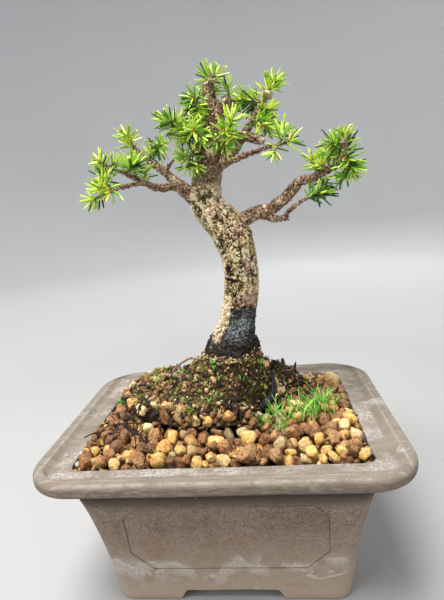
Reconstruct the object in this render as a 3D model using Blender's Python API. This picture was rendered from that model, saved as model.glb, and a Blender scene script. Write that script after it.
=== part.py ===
"""A spruce bonsai in an unglazed rectangular pot, at its real size.

The frame is in metres, +Z up, with the origin on the ground under the middle of the pot. The
front of the pot faces -Y. The pot is one fired piece with a wide lip, shallow panels, corner feet
and two drain holes. It holds a bed of gravel, and the mossy root ball stands on the gravel. The
trunk rises from a flat cut on the root ball to the tip of its leader, and carries tapering boughs
that end inside uneven masses of needles. Solids that touch are kept GAP apart.
"""

import math

import bmesh
import bpy
import numpy as np
from mathutils import Vector, noise
from mathutils.bvhtree import BVHTree

MM = 0.001
GAP = 0.3 * MM
NEEDLE_GAP = 0.45 * MM
OVERRUN = 2.0 * MM

# Pot
RIM_HALF = (90.0 * MM, 70.7 * MM)
OPENING_HALF = (71.4 * MM, 53.7 * MM)
BODY_TOP_HALF = (76.4 * MM, 57.0 * MM)
FOOT_HALF = (62.1 * MM, 40.3 * MM)
POT_HEIGHT = 88.0 * MM
LIP_THICKNESS = 6.4 * MM
BEAD_WIDTH = 5.5 * MM
BEAD_SLOPE_WIDTH = 4.0 * MM
BEAD_FALL = 0.3 * MM
SHELF_DROP = 2.2 * MM
EDGE_ROUND = 0.6 * MM
LIP_STEPS = 6
WALL = 5.5 * MM
FLARE_SHARE = 0.46
FLARE_POWER = 2.5
BODY_LEVELS = 7
CAVITY_LEVELS = 5
WALL_SHOULDER = 6.0 * MM
FOOT_EDGE = 1.2 * MM
RIM_CORNER = 24.0 * MM
BEAD_CORNER = 15.0 * MM
SHELF_CORNER = 8.0 * MM
BODY_CORNER = 8.0 * MM
INSIDE_CORNER = 5.0 * MM
CORNER_STEPS = 4

# Feet, drain holes and panels
FOOT_HEIGHT = 6.6 * MM
FLOOR_TOP = 12.5 * MM
FOOT_WIDTH = 12.0 * MM
FRONT_ARCH_HALF = 23.5 * MM
SIDE_ARCH_HALF = 15.0 * MM
ARCH_CURVE = 5.2 * MM
ARCH_STEPS = 5
ARCH_STAGGER = 0.2 * MM
DRAIN_RADIUS = 6.0 * MM
DRAIN_SPACING = 60.0 * MM
DRAIN_SIDES = 20
PANEL_DEPTH = 0.5 * MM
PANEL_TOP = 62.6 * MM
PANEL_BOTTOM = 21.3 * MM
PANEL_TOP_MARGIN = 21.3 * MM
PANEL_BOTTOM_MARGIN = 17.0 * MM
PANEL_CHAMFER = (7.0 * MM, 11.0 * MM)

# Gravel bed and root ball
GRAVEL_EDGE = 85.2 * MM
GRAVEL_TOP = 87.5 * MM
GRAVEL_SLOPE_WIDTH = 12.0 * MM
GRAVEL_SLOPE_SHARES = (0.35, 1.0)
TRUNK_FOOT = (5.0 * MM, 10.0 * MM)
GROUND_LEVEL = 119.6 * MM
CROWN_OF_ROOTS = 16.2 * MM
# How far the root ball reaches from the trunk, every 45 degrees from +X towards +Y
ROOT_REACH = [v * MM for v in (27.0, 48.0, 42.0, 74.0, 64.0, 43.0, 30.0, 20.5)]
ROOT_LIMIT = (69.5 * MM, 50.5 * MM)
ROOT_EDGE = 1.6 * MM
ROOT_RINGS = 6
ROOT_SIDES = 26
ROOT_SLOPE = 2.0
ROOT_LUMP = 1.4 * MM
ROOT_FADE = 4.0
LEFT_RIDGE = {"centre": (-46.0, 34.0), "spread": (22.0, 12.0), "height": 5.0}
RIGHT_RIDGE = {"centre": (36.0, 34.0), "spread": (14.0, 11.0), "height": 4.0}
TIE_WIDTH = 2.6 * MM
TIE_THICKNESS = 0.8 * MM
TIE_LIFT = 1.3 * MM
TIE_STEPS = 8
TIE_BEND = 0.9
# Where the band starts and ends: degrees round the root ball, and how far down it
TIE_ROUTE = ((17.0, 0.30), (-50.0, 0.93))

# Trunk
TRUNK_PATH = [
    (5.0, 10.0, 119.6),
    (10.5, 10.0, 140.0),
    (14.1, 7.0, 166.6),
    (9.7, 7.0, 188.3),
    (-1.6, 9.0, 204.0),
    (0.4, 12.0, 224.5),
    (5.5, 15.0, 247.5),
    (4.0, 15.5, 256.0),
    (3.0, 16.0, 262.5),
    (5.3, 16.0, 268.5),
]
TRUNK_BASE_RADIUS = 10.2 * MM
TRUNK_FORK_RADIUS = 8.3 * MM
TRUNK_FORK_SHARE = 0.58
TRUNK_TIP_RADIUS = 1.4 * MM
LEADER_TAPER = 0.65
ROOT_FLARE = 4.6 * MM
ROOT_FLARE_HEIGHT = 11.0 * MM
BOUGH_COLLAR = 1.5 * MM
BOUGH_COLLAR_LEVEL = 188.0 * MM
BOUGH_COLLAR_SPREAD = 11.0 * MM
TRUNK_STEP = 7.0 * MM
LIMB_STEP = 5.5 * MM
BURR_SIZE = 7.0 * MM
TRUNK_ROUNDNESS = 3
LIMB_ROUNDNESS = 2
TRUNK_BURR = 0.7 * MM
LIMB_BURR = 0.25 * MM

# Each bough: its path in millimetres, its radius at the base and its radius at the tip
BOUGHS = {
    "left_bough": ([(-2.5, 9.5, 203.0), (-11.5, 12.8, 210.6), (-18.2, 15.0, 216.2)], 5.4, 3.2),
    "left_bough_upper": (
        [(-16.5, 14.2, 215.0), (-26.2, 20.0, 224.2), (-36.0, 26.0, 231.5), (-45.0, 29.7, 240.8)],
        2.8,
        1.3,
    ),
    "left_bough_lower": ([(-15.8, 14.4, 215.4), (-26.8, 10.0, 214.6), (-35.1, 5.0, 218.3)], 2.6, 1.8),
    "left_twig_upper": ([(-33.4, 5.6, 217.6), (-45.0, 4.0, 224.3), (-55.6, 4.0, 228.6)], 1.7, 1.1),
    "left_twig_lower": ([(-33.6, 5.4, 217.9), (-44.3, 0.0, 216.3), (-53.9, -5.0, 212.9)], 1.6, 1.0),
    "right_bough": (
        [
            (11.0, 6.5, 191.0),
            (23.2, 4.0, 196.9),
            (31.7, 1.0, 198.8),
            (40.0, -2.0, 204.2),
            (46.2, -4.0, 210.6),
        ],
        4.2,
        2.7,
    ),
    "right_bough_tip": (
        [(45.2, -3.7, 209.4), (47.5, -4.2, 211.2), (55.1, -5.0, 212.7), (64.5, -6.2, 217.2)],
        2.6,
        1.7,
    ),
    "right_spur": ([(25.3, 3.0, 197.0), (32.9, 0.0, 193.9), (40.0, -2.0, 193.9)], 2.1, 1.6),
    "right_back_twig": ([(54.0, -4.6, 212.4), (59.5, 2.0, 218.5), (64.0, 8.4, 223.6)], 1.5, 1.0),
    "right_twig": ([(39.2, -1.8, 193.9), (42.1, -4.0, 198.1), (50.5, -5.8, 203.0)], 1.5, 0.9),
    "crown_bough_right": (
        [
            (3.0, 11.4, 220.0),
            (14.7, 13.0, 231.0),
            (23.4, 16.0, 242.9),
            (32.2, 20.0, 255.3),
            (35.3, 20.0, 261.0),
        ],
        3.1,
        1.4,
    ),
    "crown_bough_low": (
        [(4.0, 11.0, 221.5), (16.3, 4.0, 225.7), (29.4, -2.0, 228.6), (40.4, -5.8, 229.9)],
        2.1,
        1.0,
    ),
    "crown_bough_front": ([(2.5, 10.0, 223.5), (8.8, 0.0, 231.7), (14.6, -6.4, 241.0)], 2.3, 1.1),
    "crown_bough_left": (
        [(1.8, 11.0, 227.4), (-3.6, 4.0, 236.2), (-8.9, -1.0, 242.4), (-13.5, -3.8, 245.4)],
        2.3,
        1.1,
    ),
    "crown_stub": ([(0.6, 11.0, 223.5), (-1.8, 3.0, 228.6), (-4.2, -1.4, 231.5)], 2.8, 2.1),
    "crown_bough_back": ([(1.5, 13.0, 225.0), (-2.4, 30.0, 238.2), (-4.6, 40.0, 250.0)], 2.6, 1.4),
    "crown_bough_back_low": ([(2.0, 13.0, 221.0), (6.7, 32.0, 231.5), (9.2, 41.5, 238.6)], 2.4, 1.4),
}

# Each mass of needles: its centre and its half sizes, in millimetres
MASSES = {
    "left_tip_upper_needles": ((-58.5, 4.0, 230.1), (6.4, 6.6, 6.0)),
    "left_tip_middle_needles": ((-53.9, -1.5, 221.0), (6.0, 6.0, 5.8)),
    "left_tip_lower_needles": ((-56.0, -6.0, 210.8), (8.3, 7.8, 7.4)),
    "left_middle_needles": ((-40.6, 6.5, 227.6), (10.1, 9.0, 7.3)),
    "left_top_needles": ((-47.2, 30.0, 245.1), (7.0, 6.6, 6.0)),
    "left_inner_needles": ((-29.2, 24.6, 236.0), (7.9, 8.2, 7.9)),
    "apex_needles": ((6.8, 16.0, 268.4), (12.6, 11.5, 9.6)),
    "crown_upper_left_needles": ((-6.2, 13.0, 256.5), (7.6, 9.4, 10.0)),
    "crown_left_needles": ((-14.0, -2.0, 243.3), (11.5, 10.5, 8.6)),
    "crown_low_left_needles": ((-8.6, 0.5, 224.6), (8.0, 8.4, 8.4)),
    "crown_front_low_needles": ((5.0, -6.4, 233.6), (13.2, 9.4, 6.9)),
    "crown_front_needles": ((18.2, -7.6, 243.6), (9.6, 9.4, 8.9)),
    "crown_back_right_needles": ((23.6, 27.0, 257.0), (8.2, 8.4, 8.2)),
    "crown_back_needles": ((-5.4, 42.0, 254.0), (11.8, 11.0, 11.2)),
    "crown_back_low_needles": ((10.0, 44.0, 240.4), (10.7, 9.8, 9.0)),
    "right_upper_tip_needles": ((37.5, 20.0, 263.8), (7.6, 7.8, 7.6)),
    "right_upper_needles": ((33.2, 17.6, 244.1), (8.4, 9.1, 10.2)),
    "right_low_tip_needles": ((40.3, -6.0, 231.0), (9.8, 9.5, 9.3)),
    "right_inner_needles": ((55.2, -3.4, 220.2), (7.6, 7.6, 7.4)),
    "right_tip_needles": ((69.2, -6.0, 228.6), (8.4, 9.0, 9.8)),
    "right_outer_needles": ((71.2, -10.0, 214.4), (7.2, 8.2, 9.0)),
    "right_under_needles": ((56.8, -5.4, 205.8), (9.0, 8.2, 7.6)),
    "right_back_needles": ((65.0, 9.6, 225.4), (8.0, 8.0, 7.4)),
}
MASS_SIDES = 10
MASS_BANDS = 7
MASS_ROUGHNESS = 0.16
MASS_LUMPS = 1.6
MASS_SPRAYS = 6
MASS_SPRAY_REACH = 0.26
MASS_SPRAY_SHARPNESS = 7.0

# Colours: red, green, blue and roughness
CLAY = (0.235, 0.19, 0.155, 0.85)
GRAVEL = (0.33, 0.19, 0.10, 0.95)
MOSS = (0.07, 0.06, 0.03, 1.0)
BARK = (0.21, 0.165, 0.10, 0.95)
TWIG = (0.24, 0.17, 0.115, 0.95)
NEEDLES = (0.16, 0.34, 0.05, 0.55)
BLACK_BAND = (0.012, 0.012, 0.013, 0.6)


def collection(name):
    made = bpy.data.collections.new(name)
    bpy.context.scene.collection.children.link(made)
    return made


def material(name, colour):
    made = bpy.data.materials.new(name)
    made.use_nodes = True
    shader = made.node_tree.nodes["Principled BSDF"]
    shader.inputs["Base Color"].default_value = (*colour[:3], 1.0)
    shader.inputs["Roughness"].default_value = colour[3]
    shader.inputs["Metallic"].default_value = 0.0
    return made


def add_object(name, mesh, home, colour=None, sharp_angle=40.0):
    """A mesh object in its collection, smooth except over sharp edges, with its own material."""
    obj = bpy.data.objects.new(name, mesh)
    home.objects.link(obj)
    mesh.shade_smooth()
    mesh.set_sharp_from_angle(angle=math.radians(sharp_angle))
    if colour:
        mesh.materials.append(material(name, colour))
    return obj


def add_cutter(name, mesh, cutters):
    obj = add_object(name, mesh, cutters)
    obj.hide_render = True
    obj.display_type = "WIRE"
    return obj


def subtract(obj, cutter):
    """A Boolean that takes the cutter's shape away from the object."""
    cut = obj.modifiers.new("cut_" + cutter.name, "BOOLEAN")
    cut.operation = "DIFFERENCE"
    cut.solver = "EXACT"
    cut.object = cutter


def join(obj, other):
    """A Boolean that adds the other's shape to the object."""
    added = obj.modifiers.new("join_" + other.name, "BOOLEAN")
    added.operation = "UNION"
    added.solver = "EXACT"
    added.object = other


def settle(obj):
    """Applies the object's modifiers, and keeps its largest body where a cut left crumbs."""
    bpy.context.view_layer.update()
    graph = bpy.context.evaluated_depsgraph_get()
    mesh = bpy.data.meshes.new_from_object(obj.evaluated_get(graph))
    obj.modifiers.clear()
    bm = bmesh.new()
    bm.from_mesh(mesh)
    bmesh.ops.remove_doubles(bm, verts=bm.verts, dist=0.01 * MM)
    bodies = linked_bodies(bm)
    keep = max(bodies, key=len)
    crumbs = [vert for body in bodies if body is not keep for vert in body]
    bmesh.ops.delete(bm, geom=crumbs, context="VERTS")
    bm.to_mesh(mesh)
    bm.free()
    old = obj.data
    obj.data = mesh
    bpy.data.meshes.remove(old)
    return obj


def linked_bodies(bm):
    """The mesh's vertices, grouped by the body that they belong to."""
    waiting = set(bm.verts)
    bodies = []
    for start in bm.verts:
        if start not in waiting:
            continue
        waiting.discard(start)
        body = [start]
        for vert in body:
            for edge in vert.link_edges:
                other = edge.other_vert(vert)
                if other in waiting:
                    waiting.discard(other)
                    body.append(other)
        bodies.append(body)
    return bodies


# Lofts of like rings


def rounded_ring(half, radius, z):
    """Points round a rectangle with round corners, anticlockwise from above."""
    ring = []
    for corner, (side_x, side_y) in enumerate(((1, 1), (-1, 1), (-1, -1), (1, -1))):
        for step in range(CORNER_STEPS + 1):
            angle = (corner + step / CORNER_STEPS) * math.pi / 2
            x = side_x * (half[0] - radius) + radius * math.cos(angle)
            y = side_y * (half[1] - radius) + radius * math.sin(angle)
            ring.append((x, y, z))
    return ring


def loft(name, rings):
    """A closed mesh through rings of equally many points, with a flat cap on the first and last."""
    bm = bmesh.new()
    rows = [[bm.verts.new(point) for point in ring] for ring in rings]
    count = len(rows[0])
    for lower, upper in zip(rows, rows[1:]):
        for i in range(count):
            j = (i + 1) % count
            bm.faces.new((lower[i], lower[j], upper[j], upper[i]))
    bm.faces.new(rows[0][::-1])
    bm.faces.new(rows[-1])
    bmesh.ops.recalc_face_normals(bm, faces=bm.faces)
    mesh = bpy.data.meshes.new(name)
    bm.to_mesh(mesh)
    bm.free()
    return mesh


# The pot


def lip_underside():
    return POT_HEIGHT - LIP_THICKNESS


def body_half(z):
    """Half the width and depth of the pot's body at a height: it flares towards the lip."""
    share = min(max(z / lip_underside(), 0.0), 1.0)
    flare = (1 - FLARE_SHARE) * share + FLARE_SHARE * share**FLARE_POWER
    return tuple(foot + (top - foot) * flare for foot, top in zip(FOOT_HALF, BODY_TOP_HALF))


def grown(half, by):
    return (half[0] + by, half[1] + by)


def inside_half(z):
    """Half the width and depth of the space inside the pot at a height."""
    wall = grown(body_half(z), -WALL)
    return tuple(min(side, opening) for side, opening in zip(wall, OPENING_HALF))


def body_rings(inset):
    """The body from its foot to the underside of the lip, drawn in by an inset."""
    levels = [lip_underside() * i / BODY_LEVELS for i in range(BODY_LEVELS + 1)]
    return [rounded_ring(grown(body_half(z), -inset), BODY_CORNER, z) for z in levels]


def lip_rings():
    """The lip from its underside, round its outer edge, over the bead and the shelf to the opening."""
    low = lip_underside()
    middle = POT_HEIGHT - LIP_THICKNESS / 2
    roundness = LIP_THICKNESS / 2
    rings = []
    for step in range(LIP_STEPS + 1):
        angle = math.pi * (step / LIP_STEPS - 0.5)
        half = grown(RIM_HALF, roundness * (math.cos(angle) - 1))
        rings.append(rounded_ring(half, RIM_CORNER, middle + roundness * math.sin(angle)))
    shelf = POT_HEIGHT - SHELF_DROP
    bead_inside = grown(RIM_HALF, -BEAD_WIDTH)
    shelf_start = grown(bead_inside, -BEAD_SLOPE_WIDTH)
    rings.append(rounded_ring(bead_inside, BEAD_CORNER, POT_HEIGHT - BEAD_FALL))
    rings.append(rounded_ring(shelf_start, SHELF_CORNER, shelf))
    rings.append(rounded_ring(grown(OPENING_HALF, EDGE_ROUND), INSIDE_CORNER, shelf))
    rings.append(rounded_ring(OPENING_HALF, INSIDE_CORNER, shelf - EDGE_ROUND))
    rings.append(rounded_ring(OPENING_HALF, INSIDE_CORNER, low))
    return rings


def cavity_levels():
    """Heights of the rings down the inside of the pot."""
    top = lip_underside() - WALL_SHOULDER
    return [top + (FLOOR_TOP - top) * i / CAVITY_LEVELS for i in range(CAVITY_LEVELS + 1)]


def arch_outline(half_width, height):
    """A foot gap seen from outside: open below, with an S-curve up to its flat top at each end."""
    left = []
    for step in range(ARCH_STEPS + 1):
        share = step / ARCH_STEPS
        rise = share * share * (3 - 2 * share)
        left.append((-half_width - ARCH_CURVE * (1 - share), height * rise))
    below = (-half_width - ARCH_CURVE, -height)
    half = [below] + left
    return half + [(-x, z) for x, z in reversed(half)]


def panel_outline(top_half, bottom_half):
    """A shallow panel seen from outside: chamfered at its corners, and narrower below."""
    chamfer_x, chamfer_z = PANEL_CHAMFER
    right = [
        (bottom_half - chamfer_z, PANEL_BOTTOM),
        (bottom_half, PANEL_BOTTOM + chamfer_z),
        (top_half, PANEL_TOP - chamfer_x),
        (top_half - chamfer_x, PANEL_TOP),
    ]
    return right + [(-x, z) for x, z in reversed(right)]


def upright_prism(name, outline, depth, turn):
    """An outline of across and up, stood upright and run through the pot from side to side."""
    curve = bpy.data.curves.new(name, "CURVE")
    curve.dimensions = "2D"
    curve.fill_mode = "BOTH"
    curve.extrude = depth / 2
    spline = curve.splines.new("POLY")
    spline.points.add(len(outline) - 1)
    for point, (across, up) in zip(spline.points, outline):
        point.co = (across, up, 0.0, 1.0)
    spline.use_cyclic_u = True
    obj = bpy.data.objects.new(name, curve)
    obj.rotation_euler = (math.pi / 2, 0.0, turn)
    return mesh_of_curve(obj)


def mesh_of_curve(obj):
    """The curve object's shape as a welded mesh in world space. The curve is removed."""
    bpy.context.scene.collection.objects.link(obj)
    bpy.context.view_layer.update()
    graph = bpy.context.evaluated_depsgraph_get()
    mesh = bpy.data.meshes.new_from_object(obj.evaluated_get(graph))
    bm = bmesh.new()
    bm.from_mesh(mesh)
    bmesh.ops.remove_doubles(bm, verts=bm.verts, dist=0.01 * MM)
    bm.transform(obj.matrix_world)
    bmesh.ops.recalc_face_normals(bm, faces=bm.faces)
    bm.to_mesh(mesh)
    bm.free()
    curve = obj.data
    bpy.data.objects.remove(obj)
    bpy.data.curves.remove(curve)
    return mesh


def make_pot(parts, cutters):
    foot = rounded_ring(grown(FOOT_HALF, -FOOT_EDGE), BODY_CORNER, 0.0)
    foot_edge = rounded_ring(body_half(FOOT_EDGE), BODY_CORNER, FOOT_EDGE)
    inside = [rounded_ring(inside_half(z), INSIDE_CORNER, z) for z in cavity_levels()]
    rings = [foot, foot_edge, *body_rings(0.0)[1:], *lip_rings(), *inside]
    pot = add_object("pot", loft("pot", rings), parts, CLAY, 30.0)

    across = 2 * RIM_HALF[0]
    front_outline = arch_outline(FRONT_ARCH_HALF, FOOT_HEIGHT)
    side_outline = arch_outline(SIDE_ARCH_HALF, FOOT_HEIGHT - ARCH_STAGGER)
    front_arch = upright_prism("front_arch", front_outline, across, 0.0)
    side_arch = upright_prism("side_arch", side_outline, across, math.pi / 2)
    recess_half = grown(FOOT_HALF, -FOOT_WIDTH)
    recess_levels = (-FOOT_HEIGHT, FOOT_HEIGHT + ARCH_STAGGER)
    recess_rings = [rounded_ring(recess_half, INSIDE_CORNER, z) for z in recess_levels]
    recess = loft("foot_recess", recess_rings)
    under = add_cutter("foot_recess", recess, cutters)
    for name, mesh in (("front_arch", front_arch), ("side_arch", side_arch)):
        join(under, add_cutter(name, mesh, cutters))
    subtract(pot, under)
    for side in (-1, 1):
        subtract(pot, drain_cutter(side, cutters))

    panel_body = add_cutter("panel_body", loft("panel_body", body_rings(PANEL_DEPTH)), cutters)
    middle = (PANEL_TOP + PANEL_BOTTOM) / 2
    for name, side, turn in (("front_panels", 0, 0.0), ("side_panels", 1, math.pi / 2)):
        top_half = body_half(PANEL_TOP)[side] - PANEL_TOP_MARGIN
        bottom_half = body_half(middle)[side] - PANEL_BOTTOM_MARGIN
        outline = panel_outline(top_half, bottom_half)
        panel = add_cutter(name, upright_prism(name, outline, across, turn), cutters)
        subtract(panel, panel_body)
        subtract(pot, panel)


def drain_cutter(side, cutters):
    """A round hole through the pot's floor."""
    bm = bmesh.new()
    depth = 4 * (FLOOR_TOP - FOOT_HEIGHT)
    bmesh.ops.create_cone(
        bm, cap_ends=True, segments=DRAIN_SIDES, radius1=DRAIN_RADIUS, radius2=DRAIN_RADIUS, depth=depth
    )
    centre = Vector((side * DRAIN_SPACING / 2, 0.0, (FLOOR_TOP + FOOT_HEIGHT) / 2))
    bmesh.ops.translate(bm, verts=bm.verts, vec=centre)
    name = "drain_left" if side < 0 else "drain_right"
    mesh = bpy.data.meshes.new(name)
    bm.to_mesh(mesh)
    bm.free()
    return add_cutter(name, mesh, cutters)


# What the pot holds


def make_gravel_bed(parts):
    """The gravel fills the pot, and its top slopes up from the wall to a plateau."""
    levels = cavity_levels()[::-1]
    levels[0] = FLOOR_TOP + GAP
    rings = [rounded_ring(grown(inside_half(z), -GAP), INSIDE_CORNER, z) for z in levels]
    for z in (lip_underside(), GRAVEL_EDGE):
        rings.append(rounded_ring(grown(OPENING_HALF, -GAP), INSIDE_CORNER, z))
    for share in GRAVEL_SLOPE_SHARES:
        half = grown(OPENING_HALF, -GAP - GRAVEL_SLOPE_WIDTH * share)
        rise = math.sin(share * math.pi / 2) * (GRAVEL_TOP - GRAVEL_EDGE)
        rings.append(rounded_ring(half, INSIDE_CORNER, GRAVEL_EDGE + rise))
    add_object("gravel_bed", loft("gravel_bed", rings), parts, GRAVEL, 50.0)


def root_reach(angle):
    """How far the root ball's foot lies from the trunk in a direction, smooth between its corners."""
    place = (angle / (2 * math.pi) * len(ROOT_REACH)) % len(ROOT_REACH)
    first = int(place)
    share = place - first
    blend = (1 - math.cos(math.pi * share)) / 2
    near, far = ROOT_REACH[first], ROOT_REACH[(first + 1) % len(ROOT_REACH)]
    return near + (far - near) * blend


def ridge_height(ridge, x, y):
    """The height that one ridge of soil adds at a place."""
    across = (x / MM - ridge["centre"][0]) / ridge["spread"][0]
    along = (y / MM - ridge["centre"][1]) / ridge["spread"][1]
    return ridge["height"] * MM * math.exp(-across * across - along * along)


def root_surface(angle, share):
    """A point of the root ball's skin: share is 0 at the trunk's foot and 1 at its outer edge."""
    distance = CROWN_OF_ROOTS + (root_reach(angle) - CROWN_OF_ROOTS) * share
    x = TRUNK_FOOT[0] + distance * math.cos(angle)
    y = TRUNK_FOOT[1] + distance * math.sin(angle)
    x = min(max(x, -ROOT_LIMIT[0]), ROOT_LIMIT[0])
    y = min(max(y, -ROOT_LIMIT[1]), ROOT_LIMIT[1])
    low = GRAVEL_TOP + GAP + ROOT_EDGE
    cone = (GROUND_LEVEL - GAP - low) * (1 - share) ** ROOT_SLOPE
    ridges = ridge_height(LEFT_RIDGE, x, y) + ridge_height(RIGHT_RIDGE, x, y)
    lump = ROOT_LUMP * noise.noise(Vector((x, y, 0.0)) / BURR_SIZE)
    fade = min(max(min(share, 1 - share) * ROOT_FADE, 0.0), 1.0)
    return Vector((x, y, low + cone + (ridges + lump) * fade))


def make_root_ball(parts):
    rings = []
    angles = [2 * math.pi * i / ROOT_SIDES for i in range(ROOT_SIDES)]
    edge = [root_surface(angle, 1.0) for angle in angles]
    rings.append([(point.x, point.y, GRAVEL_TOP + GAP) for point in edge])
    for i in range(ROOT_RINGS + 1):
        share = 1 - i / ROOT_RINGS
        rings.append([root_surface(angle, share) for angle in angles])
    add_object("root_ball", loft("root_ball", rings), parts, MOSS, 60.0)


def root_normal(angle, share):
    """The direction straight out of the root ball's skin."""
    step = 0.03
    round_it = root_surface(angle + step, share) - root_surface(angle - step, share)
    down_it = root_surface(angle, share + step) - root_surface(angle, share - step)
    return down_it.cross(round_it).normalized()


def make_tie_band(parts):
    """A flat black band that lies down the right side of the root ball, its tail on the gravel."""
    start, end = TIE_ROUTE
    path, normals = [], []
    for i in range(TIE_STEPS + 1):
        way = i / TIE_STEPS
        angle = math.radians(start[0] + (end[0] - start[0]) * way**TIE_BEND)
        share = start[1] + (end[1] - start[1]) * way
        normals.append(root_normal(angle, share))
        path.append(root_surface(angle, share) + normals[-1] * TIE_LIFT)
    rings = []
    for i, (point, normal) in enumerate(zip(path, normals)):
        ahead = path[min(i + 1, TIE_STEPS)] - path[max(i - 1, 0)]
        wide = ahead.cross(normal).normalized() * TIE_WIDTH / 2
        thick = wide.cross(ahead).normalized() * TIE_THICKNESS / 2
        corners = ((-1, -1), (1, -1), (1, 1), (-1, 1))
        rings.append([point + wide * across + thick * out for across, out in corners])
    add_object("tie_band", loft("tie_band", rings), parts, BLACK_BAND)


# The trunk and boughs


def smooth_path(points, step):
    """Points about a step apart on a smooth curve through the given ones, which are in millimetres."""
    known = [Vector(point) * MM for point in points]
    known = [known[0] * 2 - known[1], *known, known[-1] * 2 - known[-2]]
    path = []
    for before, start, end, after in zip(known, known[1:], known[2:], known[3:]):
        count = max(2, round((end - start).length / step))
        for i in range(count):
            t = i / count
            path.append(
                (
                    2 * start
                    + (end - before) * t
                    + (2 * before - 5 * start + 4 * end - after) * t**2
                    + (3 * start - before - 3 * end + after) * t**3
                )
                / 2
            )
    path.append(known[-2])
    return path


def shares_along(path):
    """Each point's distance along the path, as a share of its length."""
    steps = [(b - a).length for a, b in zip(path, path[1:])]
    return [float(v) for v in np.concatenate([[0.0], np.cumsum(steps)]) / sum(steps)]


def tube(name, path, radii, resolution):
    """A round tube of changing radius with flat ends, as a mesh."""
    curve = bpy.data.curves.new(name, "CURVE")
    curve.dimensions = "3D"
    curve.bevel_depth = 1.0
    curve.bevel_resolution = resolution
    curve.use_fill_caps = True
    spline = curve.splines.new("POLY")
    spline.points.add(len(path) - 1)
    for point, place, radius in zip(spline.points, path, radii):
        point.co = (*place, 1.0)
        point.radius = radius
    return mesh_of_curve(bpy.data.objects.new(name, curve))


def add_burrs(mesh, height, floor):
    """Moves the surface in and out by a slow noise, but not below the floor level."""
    for vert in mesh.vertices:
        if vert.co.z > floor:
            vert.co += vert.normal * height * noise.noise(vert.co / BURR_SIZE)


def trunk_radius(share, z):
    """The trunk's taper, its root flare and the collar where the boughs leave it."""
    if share < TRUNK_FORK_SHARE:
        taper = share / TRUNK_FORK_SHARE
        radius = TRUNK_BASE_RADIUS + (TRUNK_FORK_RADIUS - TRUNK_BASE_RADIUS) * taper
    else:
        taper = (share - TRUNK_FORK_SHARE) / (1 - TRUNK_FORK_SHARE)
        radius = TRUNK_TIP_RADIUS + (TRUNK_FORK_RADIUS - TRUNK_TIP_RADIUS) * (1 - taper) ** LEADER_TAPER
    flare = ROOT_FLARE * math.exp(-(((z - GROUND_LEVEL) / ROOT_FLARE_HEIGHT) ** 2))
    collar = BOUGH_COLLAR * math.exp(-(((z - BOUGH_COLLAR_LEVEL) / BOUGH_COLLAR_SPREAD) ** 2))
    return radius + flare + collar


def make_trunk(parts, cutters):
    path = smooth_path(TRUNK_PATH, TRUNK_STEP)
    path[1].x, path[1].y = path[0].x, path[0].y
    radii = [trunk_radius(share, point.z) for share, point in zip(shares_along(path), path)]
    floor = GROUND_LEVEL + OVERRUN / 2
    solid = tube("trunk", path, radii, TRUNK_ROUNDNESS)
    add_burrs(solid, TRUNK_BURR, floor)
    add_object("trunk", solid, parts, BARK, 50.0)
    lower, higher = Vector((0, 0, OVERRUN)), Vector((0, 0, GAP))
    longer = [path[0] - lower, *path[1:-1], path[-1] + higher]
    twin = tube("trunk_space", longer, [radius + GAP for radius in radii], TRUNK_ROUNDNESS)
    add_burrs(twin, TRUNK_BURR, floor)
    return add_cutter("trunk_space", twin, cutters)


def make_bough(name, points, base_mm, tip_mm, parts, cutters, others):
    """One tapering bough, cut clear of the limbs made before it. It gives the space that it needs."""
    path = smooth_path(points, LIMB_STEP)
    shares = shares_along(path)
    radii = [(base_mm + (tip_mm - base_mm) * share) * MM for share in shares]
    solid = tube(name, path, radii, LIMB_ROUNDNESS)
    add_burrs(solid, LIMB_BURR, 0.0)
    bough = add_object(name, solid, parts, TWIG, 50.0)
    cut_clear(bough, others)
    end = (path[-1] - path[-2]).normalized()
    longer = [*path[:-1], path[-1] + end * GAP]
    twin = tube(name + "_space", longer, [radius + GAP for radius in radii], LIMB_ROUNDNESS)
    add_burrs(twin, LIMB_BURR, 0.0)
    return add_cutter(name + "_space", twin, cutters)


def surface_tree(mesh):
    return BVHTree.FromPolygons(
        [vert.co for vert in mesh.vertices], [tuple(face.vertices) for face in mesh.polygons]
    )


def cut_clear(obj, spaces):
    """Takes away from the object each space whose surface crosses its own."""
    tree = surface_tree(obj.data)
    for space in spaces:
        if tree.overlap(surface_tree(space.data)):
            subtract(obj, space)
            settle(obj)
            tree = surface_tree(obj.data)


# The needles


def mass_mesh(name, centre, half, seed, extra):
    """An uneven closed blob with a few sprays that stand out of it."""
    rng = np.random.default_rng(seed)
    sprays = [Vector(v).normalized() for v in rng.normal(size=(MASS_SPRAYS, 3))]
    shift = Vector(rng.uniform(-9, 9, 3))
    bm = bmesh.new()
    bmesh.ops.create_uvsphere(bm, u_segments=MASS_SIDES, v_segments=MASS_BANDS, radius=1.0)
    for vert in bm.verts:
        way = vert.co.normalized()
        rough = MASS_ROUGHNESS * noise.noise(way * MASS_LUMPS + shift)
        reach = max(max(way.dot(spray), 0.0) ** MASS_SPRAY_SHARPNESS for spray in sprays)
        size = 1 - MASS_SPRAY_REACH / 2 + rough + MASS_SPRAY_REACH * reach
        vert.co = Vector(a * b * size * MM for a, b in zip(way, half)) + way * extra
    bmesh.ops.translate(bm, verts=bm.verts, vec=Vector(centre) * MM)
    mesh = bpy.data.meshes.new(name)
    bm.to_mesh(mesh)
    bm.free()
    return mesh


def make_mass(name, centre, half, seed, parts, cutters, spaces):
    mass = add_object(name, mass_mesh(name, centre, half, seed, 0.0), parts, NEEDLES, 60.0)
    cut_clear(mass, spaces)
    twin = mass_mesh(name + "_space", centre, half, seed, NEEDLE_GAP)
    return add_cutter(name + "_space", twin, cutters)


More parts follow.
